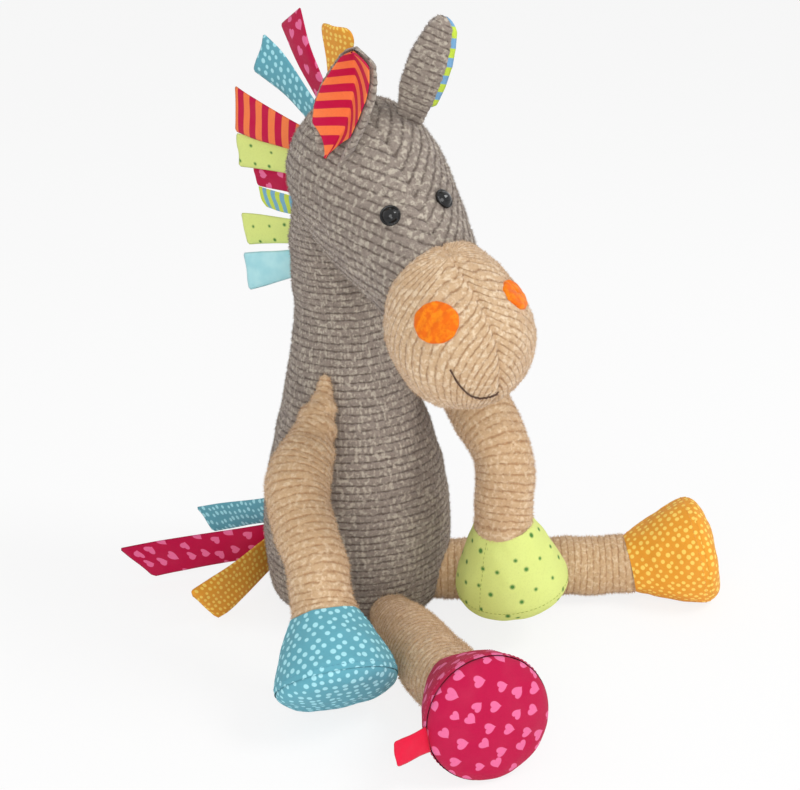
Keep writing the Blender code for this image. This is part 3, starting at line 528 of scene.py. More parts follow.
# Nostrils
# Two flat discs of orange velour, sewn on round their edge, with a pull of thread across each.
velour, tree, shader, bump = cloth_material("orange_velour", 0.8, 0.15)
brushed = ramp(tree, noise(tree, 0.0028, 2.0), 0.38, 0.66)
tone = mixed(tree, brushed, colour(228, 104, 0), colour(240, 134, 10))
tone = mixed(tree, ramp(tree, noise(tree, 0.0005, 3.0), 0.55, 0.75), tone, colour(222, 98, 2))
tree.links.new(tone, shader.inputs["Base Color"])
tree.links.new(noise(tree, 0.0004, 3.0), bump.inputs["Height"])
bump.inputs["Strength"].default_value = 0.35
bump.inputs["Distance"].default_value = 0.0004
NOSTRIL_HEIGHT_SHARE = 0.88
# share of the radius, and of how high the pad stands
NOSTRIL_PROFILE = (
    (0.0, 1.0), (0.12, 1.0), (0.25, 1.0), (0.38, 0.99), (0.5, 0.98), (0.62, 0.97), (0.74, 0.94), (0.84, 0.88),
    (0.91, 0.76), (0.96, 0.55), (0.99, 0.25), (1.0, -0.1), (0.98, -0.9), (0.0, -0.9),
)
# hand, middle, the way it faces, radius
NOSTRILS = (
    ("right", Vector((-0.07203, -0.10243, 0.18511)), Vector((-0.88482, -0.22733, 0.40671)), 0.0100),
    ("left", Vector((-0.03712, -0.11834, 0.19187)), Vector((0.24334, -0.74146, 0.62532)), 0.0082),
)


def skin(piece):
    """Search tree of a piece's surface."""
    mesh = piece.data
    return mathutils.bvhtree.BVHTree.FromPolygons([v.co.copy() for v in mesh.vertices],
                                                  [p.vertices[:] for p in mesh.polygons])


muzzle_skin = skin(muzzle)
for hand, place, normal, wide in NOSTRILS:
    side = (UP - normal * UP.dot(normal)).normalized()
    across = normal.cross(side)
    rows = []
    for rho, lift in NOSTRIL_PROFILE:
        row = []
        for t in np.linspace(0.0, 2 * math.pi, 72, endpoint=False):
            wobble = 1.0 + 0.012 * math.sin(5 * t + 1.0) + 0.008 * math.sin(11 * t)
            along = side * (NOSTRIL_HEIGHT_SHARE * math.cos(t)) + across * math.sin(t)
            spot = place + along * (wide * rho * wobble)
            found = muzzle_skin.ray_cast(spot + normal * 0.012, -normal)[0]
            pull = 0.0005 * math.exp(-((rho * math.sin(t)) / 0.09) ** 2) * (math.cos(t) > -0.3)
            row.append(found + normal * (0.0013 * lift + 0.0003 - pull * (lift > 0.5)))
        rows.append(row)
    nostril = grid(hand + "_nostril_velour", np.array(rows, float))
    nostril.data.materials.append(velour)
    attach(nostril, "head")
    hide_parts(hand + "_nostril")

# Mouth
# One line of dark brown thread, backstitched in a smile, which turns up at its right corner.
thread_brown, tree, shader, bump = cloth_material("brown_thread", 0.6, 0.2)
tone = mixed(tree, ramp(tree, noise(tree, 0.0004), 0.4, 0.6), colour(62, 40, 30), colour(98, 70, 52))
tree.links.new(tone, shader.inputs["Base Color"])
tree.links.new(noise(tree, 0.0003), bump.inputs["Height"])
bump.inputs["Strength"].default_value = 0.4
bump.inputs["Distance"].default_value = 0.0002


def tube(name, spots, thickness, columns=10):
    """A round thread through points, with a radius at each."""
    spots = np.array(spots, float)
    ahead = np.gradient(spots, axis=0)
    ahead /= np.linalg.norm(ahead, axis=1)[:, None]
    side = np.cross(ahead, np.array([0.13, 0.31, 0.94]))
    side /= np.linalg.norm(side, axis=1)[:, None]
    over = np.cross(side, ahead)
    turn = np.linspace(0.0, 2 * math.pi, columns, endpoint=False)
    ring = side[:, None] * np.cos(turn)[None, :, None] + over[:, None] * np.sin(turn)[None, :, None]
    points = spots[:, None] + ring * np.array(thickness, float)[:, None, None]
    first, last = spots[:1, None] + ring[:1] * 0, spots[-1:, None] + ring[-1:] * 0
    return grid(name, np.concatenate([first, points, last]))


MOUTH_LEFT_SHARE = 0.14     # how far the smile goes on past the middle
MOUTH_SPREAD, MOUTH_TURN, MOUTH_DROP, MOUTH_RISE = 35.0, 5.0, 35.0, 34.0    # degrees round the muzzle
line, thickness = [], []
turn = head_frame.to_3x3()
centre = head_frame @ MUZZLE_CENTRE
for share in np.linspace(-1.0, MOUTH_LEFT_SHARE, 141):
    sideways = math.radians(MOUTH_SPREAD * share - MOUTH_TURN)
    down = math.radians(MOUTH_DROP - MOUTH_RISE * share ** 4)
    level = math.cos(down)
    ray = turn @ Vector((math.sin(sideways) * level, -math.cos(sideways) * level, -math.sin(down)))
    found, normal, _, _ = muzzle_skin.ray_cast(centre + ray * 0.06, -ray)
    stitch = abs(math.sin(share * 10.5 * math.pi))
    line.append(found + ray * (0.0001 + 0.0005 * stitch ** 0.5))
    thickness.append(0.00032 + 0.00012 * stitch)
line = np.array(line)
for _ in range(3):
    line[1:-1] = (line[:-2] + 2 * line[1:-1] + line[2:]) / 4
mouth = tube("mouth_stitches", line, thickness)
mouth.data.materials.append(thread_brown)
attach(mouth, "head")
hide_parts("mouth_thread")

# Ears
# Each is a leaf of grey plush with a striped cotton lining, folded lengthways to a deep cup and
# sewn into the top of the head.
EAR_LENGTH, EAR_WIDTH, EAR_CUP, EAR_SINK, EAR_THICKNESS = 0.0475, 0.0250, 0.0100, 0.005, 0.0024
EAR_WIDTHS = ((0.0, 0.56), (0.12, 0.72), (0.3, 0.92), (0.45, 1.0), (0.65, 0.98), (0.8, 0.84), (0.92, 0.66),
              (1.0, 0.42))
# how deep the fold is along the ear
EAR_FOLD = ((0.0, 0.25), (0.15, 0.7), (0.4, 1.15), (0.7, 1.1), (0.9, 0.7), (1.0, 0.3))
weave, given, result = group("weave", (("Across", "NodeSocketVector"), ("Thread", "NodeSocketFloat")),
                             (("Height", "NodeSocketFloat"),))
apart = node(weave, "ShaderNodeSeparateXYZ", Vector=given["Across"])
waves = [sums(weave, "SINE", sums(weave, "DIVIDE", apart.outputs[axis], given["Thread"])) for axis in (0, 1)]
weave.links.new(sums(weave, "MULTIPLY", *waves), result["Height"])

stripes, given, result = group("stripes", (
    ("Across", "NodeSocketVector"), ("First", "NodeSocketColor"), ("Second", "NodeSocketColor"),
    ("Pitch", "NodeSocketFloat")), (("Color", "NodeSocketColor"),))
apart = node(stripes, "ShaderNodeSeparateXYZ", Vector=given["Across"])
place = sums(stripes, "DIVIDE", apart.outputs[1], given["Pitch"])
band = sums(stripes, "PINGPONG", place, 0.5)
band = ramp(stripes, band, 0.235, 0.265)
stripes.links.new(mixed(stripes, band, given["First"], given["Second"]), result["Color"])


def woven(tree, flat, bump):
    """A plain weave and soft creases, as a bump."""
    threads = node(tree, "ShaderNodeGroup", set_node_tree=weave, Across=flat, Thread=0.00007)
    creases = sums(tree, "ADD", sums(tree, "MULTIPLY", threads.outputs[0], 0.12), noise(tree, 0.006, 3.0))
    tree.links.new(creases, bump.inputs["Height"])
    bump.inputs["Strength"].default_value = 0.35
    bump.inputs["Distance"].default_value = 0.0012


def print_material(name, pattern, **values):
    """A printed cotton: a plain weave with a pattern on its own cloth map, and soft creases."""
    material, tree, shader, bump = cloth_material(name, 0.75, 0.05)
    flat = node(tree, "ShaderNodeUVMap", set_uv_map="cloth").outputs[0]
    printed = node(tree, "ShaderNodeGroup", set_node_tree=pattern, Across=flat, **values)
    faded = mixed(tree, sums(tree, "MULTIPLY", ramp(tree, noise(tree, 0.012), 0.35, 0.75), 0.008),
                  printed.outputs["Color"], (1.0, 1.0, 1.0, 1.0))
    faded = mixed(tree, sums(tree, "MULTIPLY", ramp(tree, noise(tree, 0.0007, 3.0), 0.45, 0.8), 0.08), faded,
                  (0.0, 0.0, 0.0, 1.0))
    tree.links.new(faded, shader.inputs["Base Color"])
    woven(tree, flat, bump)
    return material


CRIMSON, ORANGE = colour(186, 0, 66), colour(236, 160, 50)
LIME, TURQUOISE = colour(218, 230, 134), colour(98, 168, 184)
CARMINE, CORAL = colour(194, 0, 66), colour(244, 126, 70)
warm_stripes = print_material("warm_stripes", stripes, First=CARMINE, Second=CORAL, Pitch=0.0074)
cool_stripes = print_material("cool_stripes", stripes, First=colour(194, 218, 70),
                              Second=colour(118, 166, 206), Pitch=0.0074)
fine_cool_stripes = print_material("fine_cool_stripes", stripes, First=colour(204, 222, 84),
                                   Second=colour(122, 178, 206), Pitch=0.0062)


def pillow(name, rows, columns, place, flat):
    """A closed form of two cloths: place(across, along, face) and the flat pattern under it."""
    across = np.linspace(-1.0, 1.0, columns)
    way = [(a, 1.0) for a in across] + [(a, -1.0) for a in across[::-1]]
    points, uv = [], []
    for along in np.linspace(0.0, 1.0, rows):
        points.append([place(a, along, face) for a, face in way])
        uv.append([flat(a, along, face) for a, face in way] + [flat(way[0][0], along, way[0][1])])
    return grid(name, np.array(points, float), np.array(uv, float), weld=2e-6)


def ear_half(along):
    """Half of the ear's width at a share of its length."""
    return EAR_WIDTH * 0.5 * float(np.interp(along, *zip(*EAR_WIDTHS)))


def ear_leaf(name, place_of_ear, shape, inset, low, high, rows, columns):
    """The folded leaf between two depths behind the ear's opening, its tip drawn forward."""
    forward, before, behind, lining_low, lining_high, longer, drawn, roll, tilt = shape

    def place(across, along, face):
        along = 0.4 * along + 0.3 - 0.3 * math.cos(math.pi * along)
        end = math.sqrt(max(1.0 - max((along - 0.93) / 0.07, 0.0) ** 2, 0.0))
        narrow = 1.0 if inset == 0.0 else min(0.12 + along / 0.30, 1.0)
        ahead = across * forward > 0
        share = before * (1.0 + tilt * along ** 2) if ahead else behind * (1.0 - 0.8 * tilt * along ** 2)
        half = max(ear_half(along) * share * narrow - inset, 0.0008) * end
        if inset and ahead:
            half *= lining_low + (lining_high - lining_low) * along
        height = -EAR_SINK + (EAR_LENGTH * longer + EAR_SINK - 2 * inset) * along + inset
        cup = EAR_CUP * (1.0 - (abs(across) * narrow) ** 1.25) * float(np.interp(along, *zip(*EAR_FOLD)))
        cup -= 0.0 if inset == 0.0 else 0.0035 * max(1.0 - along / 0.25, 0.0)
        full = (1.0 - across ** 6) ** 0.5 * end * min(along / 0.02, 1.0)
        depth = (low + high) * 0.5 + (high - low) * 0.5 * full * face
        bow = 0.0012 * math.sin(math.pi * along) * (1.0 - along)
        if not inset and ahead and face < 0:
            bow += roll * (1.0 - along) * math.sin(math.pi * min(abs(across) ** 2, 1.0) ** 1.2)
        aside = half * across + forward * (drawn * along ** 2 - 0.0035 * (1.0 - narrow))
        return place_of_ear @ Vector((aside, cup + depth - bow, height))

    def flat(across, along, face):
        along = 0.4 * along + 0.3 - 0.3 * math.cos(math.pi * along)
        steep = 0.8 if roll and across * forward > 0 else 0.10
        half = ear_half(along)
        return half * across + 0.05 * (face < 0), EAR_LENGTH * along + steep * abs(across) * half

    return pillow(name, rows, columns, place, flat)


# Each ear's shape: which way along its width is forward, share of the half width before and behind
# the fold, the lining's share of the front at its root and tip, share of the length, how far the tip
# is drawn forward, the roll of the front edge, and how far the fold moves back towards the tip.
# Then the ear's root, and the directions of its width and of its back.
EARS = (
    ("right", (1.0, 0.85, 1.20, 0.60, 0.95, 0.98, -0.0012, 0.0060, 0.70), (-0.05323, -0.03428, 0.24475),
     (0.27917, -0.91674, -0.28575), (0.95526, 0.23487, 0.17974), warm_stripes),
    ("left", (-1.0, 0.92, 0.58, 1.15, 1.24, 1.07, 0.0068, 0.0, 0.0), (-0.0138, -0.04427, 0.2552),
     (0.06439, 0.94179, 0.32999), (-0.99313, 0.09284, -0.07116), cool_stripes),
)
for seed, (hand, shape, root, side, back, stripe) in enumerate(EARS):
    side, back = Vector(side).normalized(), Vector(back).normalized()
    place_of_ear = Matrix.Translation(root) @ Matrix((side, back, side.cross(back))).transposed().to_4x4()
    ear = ear_leaf(hand + "_ear_plush", place_of_ear, shape, 0.0, -0.0004, EAR_THICKNESS, 96, 60)
    start = places_of(ear)
    up_ear = (start - np.array(root)) @ np.array(side.cross(back))
    out_ear = (start - np.array(root)) @ np.array(back)
    ribbed(ear, up_ear - 0.35 * out_ear, 0.0032, 0.0006, fullness=0.0003, seed=13 + seed)
    ear.data.materials.append(grey_plush)
    ear_nap = nap(ear, grey_plush, 5 + seed, length=0.0010)
    lining = ear_leaf(hand + "_ear_cotton", place_of_ear, shape, 0.0009, -0.0026, -0.0002, 60, 40)
    lining.data.materials.append(stripe)
    for piece in (ear, ear_nap, lining):
        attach(piece, hand + "_ear")
    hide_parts(hand + "_ear")
    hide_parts(hand + "_ear_lining")

# Limbs
# Four tubes of beige ribbed plush, stuffed and sewn to the body. The arms come to a point at the
# shoulder and hang; the legs are sewn on near the seat and lie on the ground.
# share of the way along each limb, and of its radius
ARM_SWELL = ((0.0, 0.13), (0.05, 0.15), (0.09, 0.34), (0.14, 0.52), (0.19, 0.70), (0.27, 0.92), (0.37, 1.07),
             (0.48, 1.08), (0.65, 1.03), (0.85, 1.0), (1.0, 1.04))
FAR_ARM_SWELL = ((0.0, 0.55), (0.08, 0.62), (0.16, 0.76), (0.26, 0.96), *ARM_SWELL[6:])
LEG_SWELL = ((0.0, 1.0), (0.3, 1.04), (0.6, 1.0), (0.85, 0.97), (1.0, 1.0))
SEAT_SWELL = ((0.0, 0.5), (0.18, 0.54), (0.32, 0.74), (0.5, 0.97), (0.7, 1.06), (0.88, 1.08), (1.0, 1.02))
# name, radius, swell, which way the ribs' rings stand, middle line, and the direction at its end
LIMBS = (
    ("right_foreleg", 0.0138, ARM_SWELL, -BACK,
     ((-0.0245, -0.005, 0.136), (-0.0525, -0.0141, 0.1038), (-0.0698, -0.0224, 0.0866),
      (-0.0837, -0.0449, 0.0625), (-0.0906, -0.0547, 0.047)), (-0.40811, -0.5623, -0.71921)),
    ("left_foreleg", 0.0138, FAR_ARM_SWELL, -BACK,
     ((0.0233, -0.0014, 0.136), (0.0353, -0.0314, 0.1264), (0.0161, -0.065, 0.1114), (0.0095, -0.083, 0.094),
      (0.0053, -0.0866, 0.0622)), (0.24583, -0.01135, -0.96925)),
    ("right_hindleg", 0.0150, SEAT_SWELL, UP,
     ((-0.0058, -0.0097, 0.0165), (-0.0238, -0.0397, 0.0165), (-0.0438, -0.0697, 0.0165),
      (-0.0613, -0.0962, 0.0185), (-0.0748, -0.1177, 0.022)), (-0.52678, -0.83896, 0.13657)),
    ("left_hindleg", 0.0150, LEG_SWELL, UP,
     ((0.0038, -0.0147, 0.0165), (0.0238, -0.0397, 0.0165), (0.0478, -0.0677, 0.0165),
      (0.0698, -0.0927, 0.0165), (0.0858, -0.1127, 0.0175)), (0.60756, -0.75945, 0.23263)),
)


# the right front hoof sits further down its limb than its node does, and the limb's end fills it
FRONT_HOOF_DROP, FRONT_HOOF_MOUTH_SHARE, FRONT_LIMB_END_SHARE = 0.0055, 1.12, 1.10
ROOT_SHARE, ROOT_LIFT_SHARE = 0.3, 0.3      # an arm's root lies this close on the body's plush


def smooth_line(points, count):
    """Points along a smooth curve through the given ones."""
    points = [Vector(point) for point in points]
    ends = [points[0] * 2.0 - points[1], *points, points[-1] * 2.0 - points[-2]]
    line = []
    for place in np.linspace(0.0, len(points) - 1, count):
        span = min(int(place), len(points) - 2)
        t = place - span
        a, b, c, d = ends[span:span + 4]
        line.append((b * 2.0 + (c - a) * t + (a * 2.0 - b * 5.0 + c * 4.0 - d) * t * t
                     + (b * 3.0 - a - c * 3.0 + d) * t ** 3) * 0.5)
    return line


# the last colour is painted shade for the grooves, and the last number sets how dark it is and how deep they
# are
limb_plush = plush_material("limb_plush", colour(208, 176, 138), colour(234, 211, 178), colour(190, 153, 114),
                            colour(166, 122, 80), 0.72)
body_skin = skin(body)
for seed, (name, radius, swell, stand, middle, end_way) in enumerate(LIMBS):
    line, end_way = smooth_line(middle, 61), Vector(end_way)
    rings = []
    first = 3 if "fore" in name else 0
    for step, spot in enumerate(line):
        if step < first:
            continue
        share = step / 60
        way = (line[min(step + 1, 60)] - line[max(step - 1, 0)]).normalized()
        way = way.lerp(end_way, max((share - 0.82) / 0.18, 0.0)).normalized()
        side = way.cross(stand).normalized()
        reach = radius * float(np.interp(share, *zip(*swell)))
        if "fore" in name and share < ROOT_SHARE:
            found, normal, _, _ = body_skin.find_nearest(spot)
            off = (spot - found).dot(normal)
            spot = spot + normal * ((ROOT_LIFT_SHARE * reach - off) * (1.0 - share / ROOT_SHARE))
        if "hind" in name:
            spot = spot - UP * (0.93 * max(radius - reach, 0.0))
        if step == first:
            rings.append((spot - way * 0.001, side, side.cross(way), 0.0, 0.0))
        rings.append((spot, side, side.cross(way), reach, reach))
    if name == "right_foreleg":
        reach *= FRONT_LIMB_END_SHARE
        rings.append((line[-1] + end_way * 0.006, side, side.cross(way), reach, reach))
    tucked = line[-1] + end_way * (0.009 if name == "right_foreleg" else 0.003)
    rings += [(tucked, side, side.cross(way), reach * 0.8, reach * 0.8),
              (tucked + end_way * 0.001, side, side.cross(way), 0.0, 0.0)]
    points, along = swelling(rings, 112, 0.0009, 0.003)
    limb = grid(name + "_plush", points)
    start = places_of(limb)
    rows = points.mean(1)
    ahead = np.gradient(rows, axis=0)
    ahead /= np.linalg.norm(ahead, axis=1)[:, None] + 1e-12
    near = np.array([np.argmin(((rows - spot) ** 2).sum(1)) for spot in start])
    across_ribs = along[near] + ((start - rows[near]) * ahead[near]).sum(1)
    lean = 0.12 if "fore" in name else 0.05
    out = ((start - rows[near]) * np.cross(ahead[near], np.array(stand))).sum(1)
    pitch = 0.0036 if "fore" in name else 0.0034
    ribbed(limb, across_ribs + lean * out, pitch, 0.00060, fullness=0.0008, seed=21 + 3 * seed)
    put(limb, places_of(limb), 0.0003)
    limb.data.materials.append(limb_plush)
    limb_nap = nap(limb, limb_plush, 11 + seed, density=1.4e6, length=0.0015)
    for piece in (limb, limb_nap):
        line[14 if "fore" in name else 26]
        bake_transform(piece)
    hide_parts(name)

# Hooves
# A cotton cone sewn round the end of each limb, with a seam up its side, and a round sole of the
# same print. Both are stuffed; the sole's seam is turned in and topstitched.
def scattered(name, figure):
    """A print's group, with its figures' places: one to a cell, pushed about loosely."""
    tree, given, result = group(name, (
        ("Across", "NodeSocketVector"), ("Cloth", "NodeSocketColor"), (figure, "NodeSocketColor"),
        ("Pitch", "NodeSocketFloat"), ("Size", "NodeSocketFloat"), ("Loose", "NodeSocketFloat")),
        (("Color", "NodeSocketColor"),))
    cell = node(tree, "ShaderNodeTexVoronoi", set_voronoi_dimensions="2D", Vector=given["Across"],
                Scale=sums(tree, "DIVIDE", 1.0, given["Pitch"]), Randomness=given["Loose"])
    own = node(tree, "ShaderNodeSeparateColor", Color=cell.outputs["Color"])
    return tree, given, result, cell, own.outputs


def varied(tree, size, least, chance):
    """A figure's own size, a little more or less than its neighbours'."""
    return sums(tree, "MULTIPLY", size, sums(tree, "ADD", least, sums(tree, "MULTIPLY", chance, 0.3)))


dots, given, result, cell, own = scattered("dots", "Dot")
size = varied(dots, given["Size"], 0.82, own[0])
inside = sums(dots, "DIVIDE", sums(dots, "SUBTRACT", size, cell.outputs["Distance"]), 0.09)
inside = node(dots, "ShaderNodeClamp", Value=inside).outputs[0]
dots.links.new(mixed(dots, inside, given["Cloth"], given["Dot"]), result["Color"])

hearts, given, result, cell, own = scattered("hearts", "Heart")
apart = node(hearts, "ShaderNodeVectorMath", set_operation="SUBTRACT", i0=given["Across"],
             i1=cell.outputs["Position"])
turned_by = sums(hearts, "MULTIPLY", sums(hearts, "SUBTRACT", own[0], 0.5), 2.2)
apart = node(hearts, "ShaderNodeVectorRotate", set_rotation_type="Z_AXIS", Vector=apart.outputs[0],
             Angle=turned_by)
apart = node(hearts, "ShaderNodeSeparateXYZ", Vector=apart.outputs[0])
size = varied(hearts, given["Size"], 0.85, own[1])
wide = sums(hearts, "ABSOLUTE", sums(hearts, "DIVIDE", apart.outputs[0], size))
tall = sums(hearts, "MULTIPLY", sums(hearts, "DIVIDE", apart.outputs[1], size), 1.15)
tall = sums(hearts, "SUBTRACT", tall, sums(hearts, "MULTIPLY", sums(hearts, "SQRT", wide), 0.72))
round_it = sums(hearts, "ADD", sums(hearts, "MULTIPLY", wide, wide), sums(hearts, "MULTIPLY", tall, tall))
inside = sums(hearts, "DIVIDE", sums(hearts, "SUBTRACT", 1.0, round_it), 0.22)
inside = node(hearts, "ShaderNodeClamp", Value=inside).outputs[0]
hearts.links.new(mixed(hearts, inside, given["Cloth"], given["Heart"]), result["Color"])

turquoise_dots = print_material("turquoise_dots", dots, Cloth=TURQUOISE, Dot=colour(168, 228, 238),
                                Pitch=0.0041, Size=0.32, Loose=0.42)
DARK_GREEN = colour(74, 132, 56)
lime_dots = print_material("lime_dots", dots, Cloth=LIME, Dot=DARK_GREEN, Pitch=0.0105, Size=0.150,
                           Loose=0.45)
orange_dots = print_material("orange_dots", dots, Cloth=ORANGE, Dot=colour(255, 216, 104),
                             Pitch=0.0037, Size=0.33, Loose=0.42)
crimson_hearts = print_material("crimson_hearts", hearts, Cloth=CRIMSON, Heart=colour(232, 108, 156),
                                Pitch=0.0090, Size=0.0025, Loose=0.40)


def stuffed(piece, held, pressure, most):
    """Blow up a sewn cloth form with some points held, and cap how far each may move."""
    before = places_of(piece)
    piece.vertex_groups.new(name="held").add([int(point) for point in held], 1.0, "REPLACE")
    step = piece.modifiers.new("stuffing", "CLOTH")
    step.settings.vertex_group_mass = "held"
    step.settings.quality = 5
    step.settings.tension_stiffness = step.settings.compression_stiffness = 18.0
    step.settings.bending_stiffness = 0.3
    step.settings.use_pressure = True
    step.settings.uniform_pressure_force = pressure
    step.settings.effector_weights.gravity = 0.0
    step.collision_settings.use_collision = False
    for moment in range(1, 21):
        bpy.context.scene.frame_set(moment)
    mesh = piece.evaluated_get(bpy.context.evaluated_depsgraph_get()).to_mesh()
    after = np.zeros(len(mesh.vertices) * 3, np.float32)
    mesh.vertices.foreach_get("co", after)
    piece.modifiers.remove(step)
    bpy.context.scene.frame_set(1)
    move = after.reshape(-1, 3).astype(float) - before
    far = np.linalg.norm(move, axis=1)
    put(piece, before + move * np.minimum(1.0, most / np.maximum(far, 1e-9))[:, None], 0.0004)


def smoother(piece):
    """A finer mesh of the same form."""
    step = piece.modifiers.new("finer", "SUBSURF")
    step.levels = step.render_levels = 1
    mesh = bpy.data.meshes.new_from_object(piece.evaluated_get(bpy.context.evaluated_depsgraph_get()))
    piece.modifiers.remove(step)
    piece.data = mesh
    mesh.shade_smooth()


# Stitches: short bars of thread that lie along a line, one to each stitch
stitch_tree, given = growing("stitches", "Pitch", "Length", "Radius")
way = node(stitch_tree, "GeometryNodeMeshToCurve", Mesh=given["Geometry"])
spots = node(stitch_tree, "GeometryNodeCurveToPoints", set_mode="LENGTH", Curve=way.outputs[0],
             Length=given["Pitch"])
bar = node(stitch_tree, "GeometryNodeMeshUVSphere", Segments=6, Rings=5, Radius=given["Radius"])
long = sums(stitch_tree, "DIVIDE", given["Length"], sums(stitch_tree, "MULTIPLY", given["Radius"], 2.0))
stretch = node(stitch_tree, "ShaderNodeCombineXYZ", X=1.0, Y=1.0, Z=long)
drawn = node(stitch_tree, "GeometryNodeTransform", Geometry=bar.outputs["Mesh"], Scale=stretch.outputs[0])
turn_to = node(stitch_tree, "FunctionNodeAlignRotationToVector", set_axis="Z",
               Vector=spots.outputs["Tangent"])
uneven = node(stitch_tree, "FunctionNodeRandomValue", set_data_type="FLOAT", i2=0.85, i3=1.1,
              Seed=given["Seed"])
placed = node(stitch_tree, "GeometryNodeInstanceOnPoints", Points=spots.outputs["Points"],
              Instance=drawn.outputs[0], Rotation=turn_to.outputs[0], Scale=uneven.outputs[1])
coated(stitch_tree, placed, given["Material"])


def thread_material(name, light, dark):
    """Sewing thread in two shades of one colour."""
    material, tree, shader, bump = cloth_material(name, 0.55, 0.3)
    tree.links.new(mixed(tree, noise(tree, 0.0004), light, dark), shader.inputs["Base Color"])
    tree.links.new(noise(tree, 0.0002), bump.inputs["Height"])
    bump.inputs["Strength"].default_value = 0.4
    bump.inputs["Distance"].default_value = 0.0001
    return material


STITCH_PITCH, STITCH_LENGTH, STITCH_RADIUS = 0.0022, 0.0015, 0.00016


def topstitched(name, line, thread, seed):
    """A row of stitches along a line of points."""
    mesh = bpy.data.meshes.new(name + "_line")
    mesh.from_pydata([tuple(spot) for spot in line], [(a, a + 1) for a in range(len(line) - 1)], [])
    path = bpy.data.objects.new(name + "_line", mesh)
    bpy.context.scene.collection.objects.link(path)
    made = grown(path, stitch_tree, name, Pitch=STITCH_PITCH, Length=STITCH_LENGTH, Radius=STITCH_RADIUS,
                 Seed=seed, Material=thread)
    bpy.data.objects.remove(path)
    made.data.shade_smooth()
    return made


HOOF_LENGTH, HOOF_RADIUS, SOLE_DOME = 0.0355, 0.0280, 0.0085
# share of the length, and of the way from the limb's radius to the sole's
HOOF_PROFILE = ((0.0, 0.0), (0.2, 0.26), (0.45, 0.56), (0.7, 0.82), (0.88, 0.965), (0.96, 1.0),
                (1.0, 0.970))
# share of the hoof's radius, and of the sole's height
SOLE_PROFILE = ((0.940, -0.22), (0.998, 0.0), (0.990, 0.12), (0.9, 0.46), (0.78, 0.68), (0.6, 0.86),
                (0.35, 0.97), (0.0, 1.0))
# name, end of its limb, direction, where its side seam is, limb radius, print and thread
HOOVES = (
    ("right_foreleg", (-0.09065, -0.05467, 0.047), (-0.40811, -0.5623, -0.71921), 200.0, 0.01435,
     turquoise_dots, thread_material("turquoise_thread", colour(52, 128, 152), colour(110, 186, 204))),
    ("left_foreleg", (0.00533, -0.08659, 0.06224), (0.24583, -0.01135, -0.96925), 84.0, 0.01435, lime_dots,
     thread_material("lime_thread", colour(120, 140, 44), colour(196, 208, 96))),
    ("right_hindleg", (-0.07485, -0.11769, 0.022), (-0.52678, -0.83896, 0.13657), 250.0, 0.0150,
     crimson_hearts, thread_material("crimson_thread", colour(150, 0, 50), colour(226, 84, 130))),
    ("left_hindleg", (0.08585, -0.11269, 0.0175), (0.60756, -0.75945, 0.23263), 250.0, 0.0150, orange_dots,
     thread_material("orange_thread", colour(206, 130, 40), colour(250, 196, 96))),
)
